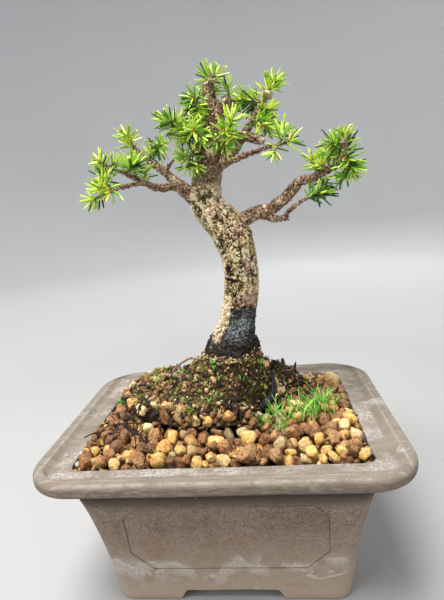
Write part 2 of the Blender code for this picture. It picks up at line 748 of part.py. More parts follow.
def main():
    for obj in list(bpy.data.objects):
        bpy.data.objects.remove(obj)
    parts = collection("spruce_bonsai")
    cutters = collection("cutters")
    make_pot(parts, cutters)
    make_gravel_bed(parts)
    make_root_ball(parts)
    make_tie_band(parts)
    spaces = [make_trunk(parts, cutters)]
    for name, (points, base_mm, tip_mm) in BOUGHS.items():
        spaces.append(make_bough(name, points, base_mm, tip_mm, parts, cutters, spaces))
    for seed, (name, (centre, half)) in enumerate(MASSES.items()):
        spaces.append(make_mass(name, centre, half, seed, parts, cutters, spaces))


main()
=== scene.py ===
"""The look of a spruce bonsai in an unglazed rectangular pot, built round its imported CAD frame.

Distances in tables are in millimetres unless a name says otherwise; meshes are in metres.
"""

import math

import bmesh
import bpy
import numpy as np
from mathutils import Matrix, Vector, noise
from mathutils.bvhtree import BVHTree


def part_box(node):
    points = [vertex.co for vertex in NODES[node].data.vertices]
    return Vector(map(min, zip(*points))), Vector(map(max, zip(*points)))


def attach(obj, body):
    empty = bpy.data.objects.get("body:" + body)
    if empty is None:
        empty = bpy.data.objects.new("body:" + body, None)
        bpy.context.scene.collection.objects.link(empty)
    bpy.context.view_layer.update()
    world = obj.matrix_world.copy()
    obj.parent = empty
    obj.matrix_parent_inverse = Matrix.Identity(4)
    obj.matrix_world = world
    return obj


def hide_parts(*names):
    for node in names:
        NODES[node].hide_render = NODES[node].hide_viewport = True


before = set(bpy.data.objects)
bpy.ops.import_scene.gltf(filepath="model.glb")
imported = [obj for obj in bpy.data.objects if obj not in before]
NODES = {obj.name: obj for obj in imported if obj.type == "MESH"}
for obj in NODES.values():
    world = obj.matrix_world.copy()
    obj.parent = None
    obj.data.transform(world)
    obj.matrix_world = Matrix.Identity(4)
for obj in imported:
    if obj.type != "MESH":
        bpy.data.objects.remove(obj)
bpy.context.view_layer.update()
MM = 0.001
UP = np.array([0.0, 0.0, 1.0])
GOLDEN_ANGLE = math.radians(137.508)


# Camera, stage and light

IMAGE_SIZE = (444, 600)
FOCAL_PX = 458.31
CAMERA_AT = (27.0, -242.856, 203.013)
YAW, PITCH, ROLL = (math.radians(v) for v in (-5.67, 11.70, -4.74))


def make_camera():
    forward = Vector(
        (math.sin(YAW) * math.cos(PITCH), math.cos(YAW) * math.cos(PITCH), -math.sin(PITCH))
    )
    level = Vector((math.cos(YAW), -math.sin(YAW), 0.0))
    upright = level.cross(forward)
    right = level * math.cos(ROLL) + upright * math.sin(ROLL)
    up = upright * math.cos(ROLL) - level * math.sin(ROLL)
    data = bpy.data.cameras.new("camera")
    data.sensor_width = 36.0
    data.lens = FOCAL_PX * data.sensor_width / max(IMAGE_SIZE)
    data.clip_start = 0.01
    cam = bpy.data.objects.new("camera", data)
    turn = Matrix((right, up, -forward)).transposed()
    cam.matrix_world = Matrix.Translation(Vector(CAMERA_AT) * MM) @ turn.to_4x4()
    bpy.context.scene.collection.objects.link(cam)
    bpy.context.scene.camera = cam


def area_light(name, place, aim, size, power, colour=(1.0, 1.0, 1.0)):
    data = bpy.data.lights.new(name, "AREA")
    data.shape = "DISK"
    data.size = size
    data.energy = power
    data.color = colour
    lamp = bpy.data.objects.new(name, data)
    lamp.location = place
    lamp.rotation_euler = (Vector(aim) - Vector(place)).to_track_quat("-Z", "Y").to_euler()
    bpy.context.scene.collection.objects.link(lamp)


def make_light():
    aim = (0.0, 0.0, 0.13)
    area_light("softbox_top", (-0.25, -0.30, 1.25), aim, 0.7, 29.0, (1.0, 0.985, 0.96))
    area_light("softbox_left", (-1.1, -0.9, 0.75), aim, 0.9, 8.0)
    area_light("softbox_right", (1.2, -0.6, 0.6), aim, 0.9, 4.0)
    area_light("softbox_back", (0.3, 1.2, 0.9), aim, 0.9, 7.0)
    world = bpy.data.worlds.new("world")
    world.use_nodes = True
    world.node_tree.nodes["Background"].inputs["Color"].default_value = (0.86, 0.88, 0.9, 1.0)
    world.node_tree.nodes["Background"].inputs["Strength"].default_value = 0.32
    bpy.context.scene.world = world
    bpy.context.scene.view_settings.view_transform = "Standard"


# Materials


def linear(rgb):
    """A colour of 0 to 255, as seen on a screen, as a linear colour with alpha."""
    share = [v / 255 for v in rgb]
    return (*(v / 12.92 if v <= 0.04045 else ((v + 0.055) / 1.055) ** 2.4 for v in share), 1.0)


class Shade:
    """A material with short names for the nodes that it needs."""

    def __init__(self, name, roughness, specular=0.5):
        self.material = bpy.data.materials.new(name)
        self.material.use_nodes = True
        self.tree = self.material.node_tree
        self.surface = self.tree.nodes["Principled BSDF"]
        self.surface.inputs["Roughness"].default_value = roughness
        self.surface.inputs["Specular IOR Level"].default_value = specular
        self.place = self.node("ShaderNodeTexCoord").outputs["Object"]

    def feed(self, socket, value):
        """Links a socket to another node's, or sets its number, vector or colour."""
        if isinstance(value, bpy.types.NodeSocket):
            self.tree.links.new(value, socket)
        elif socket.type == "RGBA":
            socket.default_value = linear(value)
        else:
            socket.default_value = value

    def node(self, kind, inputs=(), **settings):
        made = self.tree.nodes.new(kind)
        for key, value in settings.items():
            setattr(made, key, value)
        for key, value in dict(inputs).items():
            self.feed(made.inputs[key], value)
        return made

    def stretched(self, scale):
        return self.node("ShaderNodeMapping", {"Vector": self.place, "Scale": scale}).outputs[0]

    def noise(self, size_mm, detail=4.0, rough=0.55, place=None, bend=0.0):
        settings = {"Scale": 1000.0 / size_mm, "Detail": detail, "Roughness": rough, "Distortion": bend}
        settings["Vector"] = place or self.place
        return self.node("ShaderNodeTexNoise", settings).outputs["Fac"]

    def cells(self, size_mm, place=None):
        settings = {"Vector": place or self.place, "Scale": 1000.0 / size_mm}
        return self.node("ShaderNodeTexVoronoi", settings).outputs["Distance"]

    def parts(self, vector):
        return self.node("ShaderNodeSeparateXYZ", {"Vector": vector}).outputs[:3]

    def attribute(self, name):
        return self.node("ShaderNodeAttribute", attribute_name=name).outputs["Fac"]

    def ramp(self, factor, *stops):
        """stops are (place, colour or number)."""
        made = self.node("ShaderNodeValToRGB", {"Fac": factor})
        points = made.color_ramp.elements
        for i, (place, value) in enumerate(stops):
            point = points[i] if i < 2 else points.new(place)
            point.position = place
            point.color = (value,) * 3 + (1.0,) if isinstance(value, float) else linear(value)
        return made.outputs["Color"]

    def mix(self, factor, first, second):
        made = self.node("ShaderNodeMix", data_type="RGBA")
        for socket, value in zip((made.inputs[0], made.inputs[6], made.inputs[7]), (factor, first, second)):
            self.feed(socket, value)
        return made.outputs[2]

    def layers(self, colour, *rows):
        """Tints over a colour. A row is a tint, the field that places it and a ramp of its strength."""
        for tint, field, *stops in rows:
            colour = self.mix(self.ramp(field, *stops), colour, tint)
        return colour

    def math(self, way, first, second=0.0, third=0.0):
        made = self.node("ShaderNodeMath", operation=way)
        for socket, value in zip(made.inputs, (first, second, third)):
            self.feed(socket, value)
        return made.outputs[0]

    def times(self, product, *factors):
        for factor in factors:
            product = self.math("MULTIPLY", product, factor)
        return product

    def most(self, first, second):
        return self.math("MAXIMUM", first, second)

    def band(self, value, low, high, edge):
        """1 where the value lies between low and high, with soft edges."""
        slopes = []
        for start, end in ((low - edge, low + edge), (high + edge, high - edge)):
            settings = {"Value": value, "From Min": start, "From Max": end}
            slopes.append(self.node("ShaderNodeMapRange", settings).outputs[0])
        return self.times(*slopes)

    def finish(self, colour, *bumps, roughness=None):
        """bumps are (height, depth in millimetres), laid over each other."""
        self.tree.links.new(colour, self.surface.inputs["Base Color"])
        if roughness is not None:
            self.tree.links.new(roughness, self.surface.inputs["Roughness"])
        normal = None
        for height, depth in bumps:
            settings = {"Height": height, "Distance": depth * MM, "Strength": 1.0}
            if normal is not None:
                settings["Normal"] = normal
            normal = self.node("ShaderNodeBump", settings).outputs["Normal"]
        if normal is not None:
            self.tree.links.new(normal, self.surface.inputs["Normal"])
        return self.material


def plain(name, rgb, roughness, specular=0.5):
    shade = Shade(name, roughness, specular)
    shade.surface.inputs["Base Color"].default_value = linear(rgb)
    return shade.material


def toned(name, roughness, specular, grain, depth, *stops):
    """A material whose colour and relief both follow one noise."""
    shade = Shade(name, roughness, specular)
    tone = shade.noise(*grain)
    return shade.finish(shade.ramp(tone, *stops), (tone, depth))


def stage_material():
    shade = Shade("floor_paint", 0.85, 0.2)
    away = shade.node("ShaderNodeVectorMath", {0: shade.place}, operation="LENGTH").outputs["Value"]
    tint = shade.ramp(shade.times(away, 0.4), (0.16, (163, 163, 164)), (0.5, (206, 207, 209)))
    cloudy = ((255, 255, 255), shade.noise(400.0, 2.0), (0.3, 0.0), (0.7, 0.04))
    return shade.finish(shade.layers(tint, cloudy))


def clay_material():
    """Unglazed clay: a darker lip, dusty on top; pale crests of wear and painted highlight; painted shadow
    under the lip and painted light at the feet; lime from hard water.
    """
    shade = Shade("clay", 0.82, 0.3)
    x, y, z = shade.parts(shade.place)
    # How far a place lies inside the rim's outline, in metres, and its height in tenths of a metre
    inside = []
    for half, side in zip(RIM_HALF, (x, y)):
        inside.append(shade.math("SUBTRACT", half * MM, shade.math("ABSOLUTE", side)))
    inset = shade.math("MINIMUM", *inside)
    height = shade.times(z, 10.0)
    cloud = shade.noise(34.0)
    mottle = shade.noise(5.0, 4.0, 0.7)
    speckle = shade.noise(0.9, 3.0, 0.75)
    hatch = shade.noise(3.0, 3.0, 0.6, shade.stretched((0.5, 0.5, 2.6)))
    body = shade.layers(
        shade.ramp(cloud, (0.3, (121, 103, 88)), (0.5, (132, 114, 99)), (0.7, (143, 126, 111))),
        ((104, 88, 75), mottle, (0.40, 0.36), (0.52, 0.0)),
        ((160, 143, 126), mottle, (0.52, 0.0), (0.64, 0.3)),
        ((90, 75, 64), speckle, (0.38, 0.8), (0.5, 0.0)),
        ((164, 148, 132), speckle, (0.54, 0.0), (0.65, 0.6)),
        ((158, 142, 126), hatch, (0.5, 0.0), (0.68, 0.2)),
        # Painted shadow under the lip, and painted light from below that makes the clay paler towards the
        # feet
        ((86, 76, 67), height, (0.608, 0.0), (0.655, 0.72), (0.80, 1.0)),
        ((60, 54, 49), height, (0.632, 0.0), (0.665, 0.4), (0.692, 1.0)),
        ((182, 164, 146), height, (0.02, 0.9), (0.24, 0.45), (0.5, 0.0)),
    )
    lip = shade.band(z, 0.0805, 1.0, 0.0008)
    lip_tint = shade.ramp(hatch, (0.36, (100, 89, 78)), (0.52, (114, 102, 90)), (0.68, (134, 122, 110)))
    body = shade.mix(lip, body, lip_tint)
    facing = shade.parts(shade.node("ShaderNodeNewGeometry").outputs["Normal"])[2]
    level = shade.times(shade.band(facing, 0.45, 2.0, 0.32), lip)
    streak = shade.noise(8.0, 4.0, 0.65, shade.stretched((0.45, 1.3, 1.0)))
    dusty = shade.layers(
        shade.ramp(streak, (0.32, (108, 99, 89)), (0.5, (119, 110, 99)), (0.68, (132, 123, 112))),
        ((158, 150, 139), speckle, (0.54, 0.0), (0.66, 0.45)),
    )
    colour = shade.mix(level, body, dusty)
    # The crests of the bead and the rim's outer edge are paler on top, partly from wear and partly as a
    # painted highlight
    wear_and_highlight = shade.ramp(shade.noise(5.0, 3.0, 0.7), (0.40, 0.1), (0.6, 0.8))
    crest = shade.most(shade.band(inset, 0.0049, 0.0060, 0.0004), shade.band(inset, 0.0008, 0.0019, 0.0005))
    crest = shade.times(crest, wear_and_highlight, shade.band(z, 0.0862, 1.0, 0.0006))
    colour = shade.mix(shade.times(crest, 0.7), colour, (164, 156, 145))
    # Pits, chalk spots and stains
    colour = shade.layers(
        colour,
        ((58, 42, 36), shade.cells(13.0), (0.03, 0.9), (0.05, 0.0)),
        ((214, 206, 192), shade.cells(11.0, shade.stretched((1.0, 0.9, 1.1))), (0.02, 0.9), (0.035, 0.0)),
        ((132, 92, 62), shade.noise(26.0, 2.0, 0.5, bend=0.8), (0.62, 0.0), (0.76, 0.36)),
    )
    # Lime that has dried on the shelf inside the bead, and in tide marks low on the body
    shelf = shade.times(shade.band(inset, 0.0102, 0.03, 0.0008), shade.band(z, 0.0845, 0.0868, 0.0004))
    patchy = shade.ramp(shade.noise(16.0, 4.0, 0.65), (0.42, 0.0), (0.60, 1.0))
    crumbly = shade.ramp(shade.noise(1.5, 3.0, 0.75), (0.42, 0.1), (0.58, 1.0))
    lime = shade.times(shelf, patchy, shade.times(crumbly, 0.42))
    wander = shade.math("MULTIPLY_ADD", shade.noise(38.0, 3.5, 0.55, bend=0.3), 0.05, -0.025)
    line = shade.math("SUBTRACT", z, shade.math("ADD", wander, 0.0195))
    broken = shade.ramp(shade.noise(20.0, 3.0, 0.6), (0.42, 0.0), (0.52, 1.0))
    thread = shade.times(shade.band(line, -0.0003, 0.0007, 0.0007), broken)
    haze = shade.times(shade.band(line, -0.0045, 0.0012, 0.003), broken)
    creep = shade.noise(26.0, 3.5, 0.6, shade.stretched((0.6, 0.6, 1.5)), 0.5)
    veins = shade.math("ABSOLUTE", shade.math("SUBTRACT", creep, 0.5))
    veins = shade.times(shade.ramp(veins, (0.0, 1.0), (0.020, 0.0)), shade.band(z, 0.0075, 0.022, 0.004))
    veins = shade.times(veins, shade.ramp(shade.noise(30.0, 2.0, 0.5), (0.45, 0.0), (0.58, 0.9)))
    low = shade.most(thread, shade.most(veins, shade.times(haze, 0.52)))
    low = shade.times(low, shade.ramp(shade.noise(1.1, 3.0, 0.75), (0.36, 0.2), (0.54, 1.0)))
    below_lip = shade.band(z, -1.0, 0.07, 0.004)
    rubbed = shade.noise(10.0, 3.0, 0.6, shade.stretched((0.3, 1.5, 1.0)), 0.6)
    scratch = shade.times(shade.ramp(rubbed, (0.64, 0.0), (0.70, 0.28)), shade.band(z, 0.0845, 1.0, 0.001))
    white = shade.most(lime, shade.most(shade.times(low, below_lip), scratch))
    colour = shade.mix(shade.times(white, 0.95), colour, (214, 212, 208))
    return shade.finish(colour, (hatch, 0.12), (speckle, 0.2))


# Tones of the bark from its cracks to its crests: old, olive, rosy, and young as on the boughs
BARK_TONES = [
    ((0.12, (36, 27, 19)), (0.27, (112, 86, 57)), (0.42, (178, 151, 107)), (0.59, (224, 202, 158)),
     (0.82, (246, 235, 208))),
    ((0.12, (36, 32, 22)), (0.27, (102, 92, 62)), (0.42, (164, 153, 110)), (0.59, (210, 200, 158)),
     (0.82, (234, 230, 206))),
    ((0.12, (50, 33, 26)), (0.28, (124, 88, 72)), (0.43, (182, 144, 124)), (0.60, (218, 188, 168)),
     (0.82, (238, 220, 206))),
    ((0.12, (26, 18, 14)), (0.32, (66, 42, 30)), (0.48, (114, 82, 62)), (0.64, (168, 136, 110)),
     (0.86, (226, 206, 182))),
]


def bark_material():
    """Bark in four tones: dark cracks, painted shade at the fork and in hollows, a damp foot and black wound
    paste, where the masks say.
    """
    shade = Shade("bark", 0.85, 0.25)
    rise, crack_and_shade, tar, wet, young, pale = (
        shade.attribute(name) for name in ("rise", "crack_and_shade", "tar", "wet", "young", "pale")
    )
    fine = shade.noise(1.5, 5.0, 0.8)
    level = shade.math("MULTIPLY_ADD", fine, 2.0, shade.math("MULTIPLY_ADD", rise, 0.8, -0.95))
    old, olive, rosy, stem = (shade.ramp(level, *tones) for tones in BARK_TONES)
    stem = shade.layers(stem, (olive, shade.noise(15.0, 2.0, 0.5), (0.54, 0.0), (0.62, 0.6)))
    colour = shade.layers(
        old,
        (olive, shade.noise(9.0, 3.0, 0.6), (0.46, 0.0), (0.58, 0.9)),
        (rosy, shade.noise(12.0, 2.0, 0.5, bend=0.5), (0.55, 0.0), (0.63, 0.85)),
    )
    colour = shade.mix(pale, shade.mix(young, colour, stem), (172, 160, 134))
    colour = shade.layers(colour, ((38, 29, 22), crack_and_shade, (0.35, 0.0), (0.95, 0.9)))
    colour = shade.mix(wet, colour, (19, 18, 15))
    shine = shade.math("MULTIPLY_ADD", fine, 1.7, shade.math("MULTIPLY_ADD", rise, 0.8, -0.75))
    paste = shade.ramp(
        shine, (0.24, (8, 8, 8)), (0.42, (27, 27, 26)), (0.58, (66, 69, 69)), (0.84, (142, 151, 154))
    )
    colour = shade.mix(tar, colour, paste)
    rough = shade.ramp(tar, (0.0, 0.86), (1.0, 0.5))
    return shade.finish(colour, (fine, 0.5), (shade.noise(0.45, 2.0, 0.6), 0.12), roughness=rough)


def twig_material():
    tones = ((0.32, (46, 34, 24)), (0.44, (100, 79, 59)), (0.54, (152, 128, 100)), (0.68, (212, 194, 166)))
    return toned("twig_bark", 0.8, 0.3, (1.0, 4.0, 0.75), 0.3, *tones)


def old_wood_material():
    tones = ((0.3, (122, 104, 90)), (0.5, (170, 152, 136)), (0.7, (212, 200, 186)))
    return toned("old_wood", 0.8, 0.3, (1.3, 4.0, 0.65), 0.3, *tones)


def bud_material():
    return toned("bud_scales", 0.6, 0.4, (0.8, 3.0), 0.15, (0.35, (150, 88, 36)), (0.6, (214, 150, 72)))


def soil_material():
    shade = Shade("soil", 0.9, 0.25)
    tone = shade.noise(1.7, 5.0, 0.78)
    colour = shade.ramp(
        tone,
        (0.38, (20, 13, 8)), (0.48, (46, 34, 21)), (0.56, (92, 70, 42)), (0.65, (152, 124, 80)),
        (0.78, (200, 178, 132)),
    )
    broad = shade.ramp(shade.noise(10.0, 3.0, 0.6), (0.48, 0.0), (0.62, 1.0))
    green = shade.times(broad, shade.ramp(shade.noise(1.5, 3.0, 0.7), (0.48, 0.0), (0.57, 0.8)))
    colour = shade.mix(green, colour, (112, 118, 46))
    return shade.finish(colour, (tone, 1.0), (shade.noise(0.6, 2.0), 0.3))


def grain_material(name, dark, main, light, size_mm=1.7, roughness=0.7):
    """A grain of gravel or grit: mottled, with dark pores."""
    shade = Shade(name, roughness, 0.45)
    tone = shade.noise(size_mm, 5.0, 0.75)
    colour = shade.layers(
        shade.ramp(tone, (0.34, dark), (0.49, main), (0.66, light)),
        (light, shade.noise(8.0, 2.0), (0.4, 0.0), (0.65, 0.4)),
        (dark, shade.noise(0.9, 3.0, 0.7), (0.38, 0.85), (0.46, 0.0)),
    )
    return shade.finish(colour, (tone, 1.0), (shade.noise(0.6, 3.0, 0.7), 0.4))


def moss_material(name, low, high):
    shade = Shade(name, 0.7, 0.3)
    return shade.finish(shade.ramp(shade.noise(1.2, 3.0), (0.35, low), (0.65, high)))


def band_material():
    shade = Shade("black_band", 0.55, 0.4)
    rib = shade.noise(0.5, 2.0, 0.5)
    dust = shade.ramp(shade.noise(2.4, 4.0, 0.7), (0.5, (17, 17, 18)), (0.75, (48, 46, 42)))
    return shade.finish(dust, (rib, 0.1))


# Meshes


def mesh_from(name, verts, faces, smooth=True, slots=None):
    """A mesh from arrays: verts (n, 3) in metres and faces (m, 3) or (m, 4)."""
    mesh = bpy.data.meshes.new(name)
    verts = np.ascontiguousarray(verts, np.float32)
    faces = np.ascontiguousarray(faces, np.int32)
    count, corners = faces.shape
    mesh.vertices.add(len(verts))
    mesh.vertices.foreach_set("co", verts.ravel())
    mesh.loops.add(count * corners)
    mesh.loops.foreach_set("vertex_index", faces.ravel())
    mesh.polygons.add(count)
    mesh.polygons.foreach_set("loop_start", np.arange(0, count * corners, corners, dtype=np.int32))
    mesh.polygons.foreach_set("use_smooth", np.full(count, smooth))
    if slots is not None:
        mesh.polygons.foreach_set("material_index", np.ascontiguousarray(slots, np.int32))
    mesh.update(calc_edges=True)
    return mesh


def piece(name, mesh, materials, slot_name, *replaced):
    """Adds a visible piece that rides on the body, takes the given materials and stands for CAD nodes;
    slot_name is not used.
    """
    obj = bpy.data.objects.new(name, mesh)
    bpy.context.scene.collection.objects.link(obj)
    for entry in materials if isinstance(materials, list) else [materials]:
        mesh.materials.append(entry)
    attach(obj, "root")
    if replaced:
        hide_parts(*replaced)
    return obj


def arrays(mesh):
    """The vertices and triangles of a mesh."""
    verts = np.zeros(len(mesh.vertices) * 3, np.float32)
    mesh.vertices.foreach_get("co", verts)
    mesh.calc_loop_triangles()
    tris = np.zeros(len(mesh.loop_triangles) * 3, np.int32)
    mesh.loop_triangles.foreach_get("vertices", tris)
    return verts.reshape(-1, 3).astype(float), tris.reshape(-1, 3)


def points_and_normals(mesh):
    """In millimetres."""
    found = []
    for name in ("co", "normal"):
        values = np.zeros(len(mesh.vertices) * 3, np.float32)
        mesh.vertices.foreach_get(name, values)
        found.append(values.reshape(-1, 3).astype(float))
    return found[0] / MM, found[1]


def put_points(mesh, verts):
    mesh.vertices.foreach_set("co", (verts * MM).astype(np.float32).ravel())
    mesh.update()


def applied(mesh, *modifiers):
    """The mesh with modifiers, each (kind, {setting: value}), applied in turn."""
    obj = bpy.data.objects.new("scratch", mesh)
    bpy.context.scene.collection.objects.link(obj)
    for kind, settings in modifiers:
        made = obj.modifiers.new(kind, kind)
        for key, value in settings.items():
            setattr(made, key, value)
    graph = bpy.context.evaluated_depsgraph_get()
    result = bpy.data.meshes.new_from_object(obj.evaluated_get(graph))
    bpy.data.objects.remove(obj)
    return result


def mesh_of(bm, name):
    """The mesh of a bmesh that is done with."""
    mesh = bpy.data.meshes.new(name)
    bm.to_mesh(mesh)
    bm.free()
    return mesh


def ball(subdivisions):
    """A round template of radius 1: vertices and triangles."""
    bm = bmesh.new()
    bmesh.ops.create_icosphere(bm, subdivisions=subdivisions, radius=1.0)
    verts = np.array([v.co for v in bm.verts])
    faces = np.array([[v.index for v in f.verts] for f in bm.faces])
    bm.free()
    return verts, faces


def unit(v):
    v = np.asarray(v, float)
    return v / np.maximum(np.linalg.norm(v, axis=-1, keepdims=True), 1e-12)


def hashed(cells, seed):
    """A fixed random number from 0 to 1 for each whole-numbered cell."""
    i = cells.astype(np.int64) & 0xFFFFFFFF
    h = (i[..., 0] * 73856093) ^ (i[..., 1] * 19349663) ^ (i[..., 2] * 83492791) ^ (seed * 2654435761)
    h &= 0xFFFFFFFF
    for _ in range(2):
        h = ((h ^ (h >> 16)) * 0x45D9F3B) & 0xFFFFFFFF
    return (h ^ (h >> 16)) / 4294967295.0


def clouds(p, seed=0):
    """Smooth noise from -1 to 1, in cells one unit wide."""
    low = np.floor(p)
    t = p - low
    t = t * t * (3 - 2 * t)
    total = 0.0
    for corner in np.ndindex(2, 2, 2):
        weight = np.prod(np.where(np.array(corner) > 0, t, 1 - t), axis=-1)
        total = total + weight * hashed(low + corner, seed)
    return total * 2 - 1


def fractal(p, octaves, seed=0, rough=0.55):
    total, weight, share = 0.0, 0.0, 1.0
    for n in range(octaves):
        total = total + share * clouds(p * 2.03**n + 17.7 * n, seed + n)
        weight, share = weight + share, share * rough
    return total / weight


def flakes(p, seed=0):
    """Cell noise: how far the nearest and the next centre are, and a random number for the cell."""
    low = np.floor(p)
    first, second, tone = np.full(len(p), 9.0), np.full(len(p), 9.0), np.zeros(len(p))
    for step in np.ndindex(3, 3, 3):
        cell = low + np.array(step) - 1
        centre = cell + np.stack([hashed(cell, seed + k) for k in (1, 2, 3)], -1)
        gap = np.linalg.norm(centre - p, axis=1)
        closer = gap < first
        second = np.where(closer, first, np.minimum(second, gap))
        tone = np.where(closer, hashed(cell, seed + 4), tone)
        first = np.minimum(first, gap)
    return first, second, tone


def random_turns(rng, count):
    """Rotation matrices, evenly spread."""
    q = unit(rng.normal(size=(count, 4)))
    w, x, y, z = q.T
    rows = [
        [1 - 2 * (y * y + z * z), 2 * (x * y - w * z), 2 * (x * z + w * y)],
        [2 * (x * y + w * z), 1 - 2 * (x * x + z * z), 2 * (y * z - w * x)],
        [2 * (x * z - w * y), 2 * (y * z + w * x), 1 - 2 * (x * x + y * y)],
    ]
    return np.array(rows).transpose(2, 0, 1)


class Heap:
    """Gathers many small meshes into one."""

    def __init__(self):
        self.verts, self.faces, self.slots, self.count = [], [], [], 0

    def add(self, verts, faces, slots=0):
        self.verts.append(verts)
        self.faces.append(np.asarray(faces) + self.count)
        self.slots.append(np.broadcast_to(slots, len(faces)))
        self.count += len(verts)

    def mesh(self, name, smooth=True):
        slots = np.concatenate(self.slots)
        return mesh_from(name, np.concatenate(self.verts) * MM, np.concatenate(self.faces), smooth, slots)


def smooth_path(points, step):
    """Points about a step apart on a smooth curve through the given ones."""
    known = [np.array(point, float) for point in points]
    known = [known[0] * 2 - known[1], *known, known[-1] * 2 - known[-2]]
    path = []
    for before, start, end, after in zip(known, known[1:], known[2:], known[3:]):
        count = max(2, round(float(np.linalg.norm(end - start)) / step))
        for t in np.arange(count) / count:
            rise = (end - before) * t + (2 * before - 5 * start + 4 * end - after) * t**2
            path.append((2 * start + rise + (3 * start - before - 3 * end + after) * t**3) / 2)
    path.append(known[-2])
    return np.array(path)


def frames_along(path):
    """Tangents and two directions across them that don't twist."""
    tangent = unit(np.gradient(path, axis=0))
    side = unit(np.cross(tangent[0], (0.3, 1.0, 0.2)))
    sides = []
    for way in tangent:
        side = unit(side - way * np.dot(side, way))
        sides.append(side)
    sides = np.array(sides)
    return tangent, sides, np.cross(tangent, sides)


def tube(path, radii, sides, rough=0.0, rng=None):
    """A closed round tube: vertices and triangles."""
    _, across, over = frames_along(path)
    turn = np.arange(sides) * 2 * math.pi / sides
    radii = np.broadcast_to(np.asarray(radii, float), len(path))[:, None] * np.ones((1, sides))
    if rough:
        radii = radii * (1 + rng.uniform(-rough, rough, radii.shape))
    ring = across[:, None] * np.cos(turn)[None, :, None] + over[:, None] * np.sin(turn)[None, :, None]
    verts = (path[:, None] + ring * radii[..., None]).reshape(-1, 3)
    i, j = np.meshgrid(np.arange(len(path) - 1), np.arange(sides), indexing="ij")
    k = (j + 1) % sides
    corners = (i * sides + j, i * sides + k, (i + 1) * sides + k, (i + 1) * sides + j)
    a, b, c, d = (corner.ravel() for corner in corners)
    tris = [np.stack([a, b, c], 1), np.stack([a, c, d], 1)]
    count = len(verts)
    j = np.arange(sides)
    k = (j + 1) % sides
    last = (len(path) - 1) * sides
    tris.append(np.stack([np.full(sides, count), k, j], 1))
    tris.append(np.stack([np.full(sides, count + 1), last + j, last + k], 1))
    return np.concatenate([verts, path[[0]], path[[-1]]]), np.concatenate(tris)


# The pot

RIM_HALF = (90.0, 70.7)
OPENING_HALF = (71.4, 53.7)
BODY_TOP_HALF = (76.4, 57.0)
FOOT_HALF = (62.1, 40.3)
POT_HEIGHT = 88.0
LIP_THICKNESS = 6.4
LIP_UNDERSIDE = POT_HEIGHT - LIP_THICKNESS
BEAD_WIDTH, BEAD_SLOPE_WIDTH, BEAD_FALL, SHELF_DROP = 5.5, 4.0, 0.3, 2.2
SHELF = POT_HEIGHT - SHELF_DROP
RIM_CORNER, BEAD_CORNER, SHELF_CORNER, BODY_CORNER, INSIDE_CORNER = 24.0, 15.0, 8.0, 8.0, 5.0
WALL = 5.5
FLARE_SHARE, FLARE_POWER = 0.46, 2.5
FOOT_EDGE = 1.2
FOOT_HEIGHT, FLOOR_TOP, FOOT_WIDTH = 6.6, 12.5, 12.0
FRONT_ARCH_HALF, SIDE_ARCH_HALF, ARCH_CURVE, ARCH_STAGGER = 23.5, 15.0, 5.2, 0.2
DRAIN_RADIUS, DRAIN_SPACING = 6.0, 60.0
PANEL_DEPTH, GROOVE_DEPTH, GROOVE_HALF = 0.3, 0.62, 0.22
PANEL_TOP, PANEL_BOTTOM = 62.6, 21.3
PANEL_TOP_MARGIN, PANEL_BOTTOM_MARGIN, PANEL_CHAMFER = 21.3, 17.0, (7.0, 11.0)
CORNER_STEPS, STRAIGHT_STEPS = 14, 22
WARP, WARP_WIDTH = 0.22, 24


def body_half(z):
    share = min(max(z / LIP_UNDERSIDE, 0.0), 1.0)
    flare = (1 - FLARE_SHARE) * share + FLARE_SHARE * share**FLARE_POWER
    return tuple(foot + (top - foot) * flare for foot, top in zip(FOOT_HALF, BODY_TOP_HALF))


def grown(half, by):
    return (half[0] + by, half[1] + by)


def rounded_ring(half, radius, z):
    """Points round a rectangle with round corners and points along its straight sides."""
    corners = []
    for corner, (side_x, side_y) in enumerate(((1, 1), (-1, 1), (-1, -1), (1, -1))):
        turn = (corner + np.arange(CORNER_STEPS + 1) / CORNER_STEPS) * math.pi / 2
        x = side_x * (half[0] - radius) + radius * np.cos(turn)
        y = side_y * (half[1] - radius) + radius * np.sin(turn)
        corners.append(np.stack([x, y, np.full(len(x), z)], 1))
    ring = []
    for arc, following in zip(corners, corners[1:] + corners[:1]):
        ring.append(arc)
        t = np.arange(1, STRAIGHT_STEPS)[:, None] / STRAIGHT_STEPS
        ring.append(arc[-1] + (following[0] - arc[-1]) * t)
    return np.concatenate(ring)


def loft(rings):
    """A closed mesh through rings of equally many points."""
    count = len(rings[0])
    i, j = np.meshgrid(np.arange(len(rings) - 1), np.arange(count), indexing="ij")
    k = (j + 1) % count
    quads = np.stack([i * count + j, i * count + k, (i + 1) * count + k, (i + 1) * count + j], -1)
    bm = bmesh.new()
    verts = [bm.verts.new(point) for point in np.concatenate(rings) * MM]
    for quad in quads.reshape(-1, 4):
        bm.faces.new([verts[n] for n in quad])
    bm.faces.new(verts[:count][::-1])
    bm.faces.new(verts[-count:])
    bmesh.ops.recalc_face_normals(bm, faces=bm.faces)
    return mesh_of(bm, "loft")


def prism(outline, depth, turn):
    """An outline of (across, up), run through the pot from side to side."""
    across, up = np.array(outline).T
    bm = bmesh.new()
    ends = []
    for y in (-depth / 2, depth / 2):
        ends.append([bm.verts.new(Vector((x, y, z)) * MM) for x, z in zip(across, up)])
    for i in range(len(outline)):
        j = (i + 1) % len(outline)
        bm.faces.new((ends[0][i], ends[0][j], ends[1][j], ends[1][i]))
    bm.faces.new(ends[0])
    bm.faces.new(ends[1][::-1])
    bm.transform(Matrix.Rotation(turn, 4, "Z"))
    bmesh.ops.recalc_face_normals(bm, faces=bm.faces)
    return mesh_of(bm, "prism")


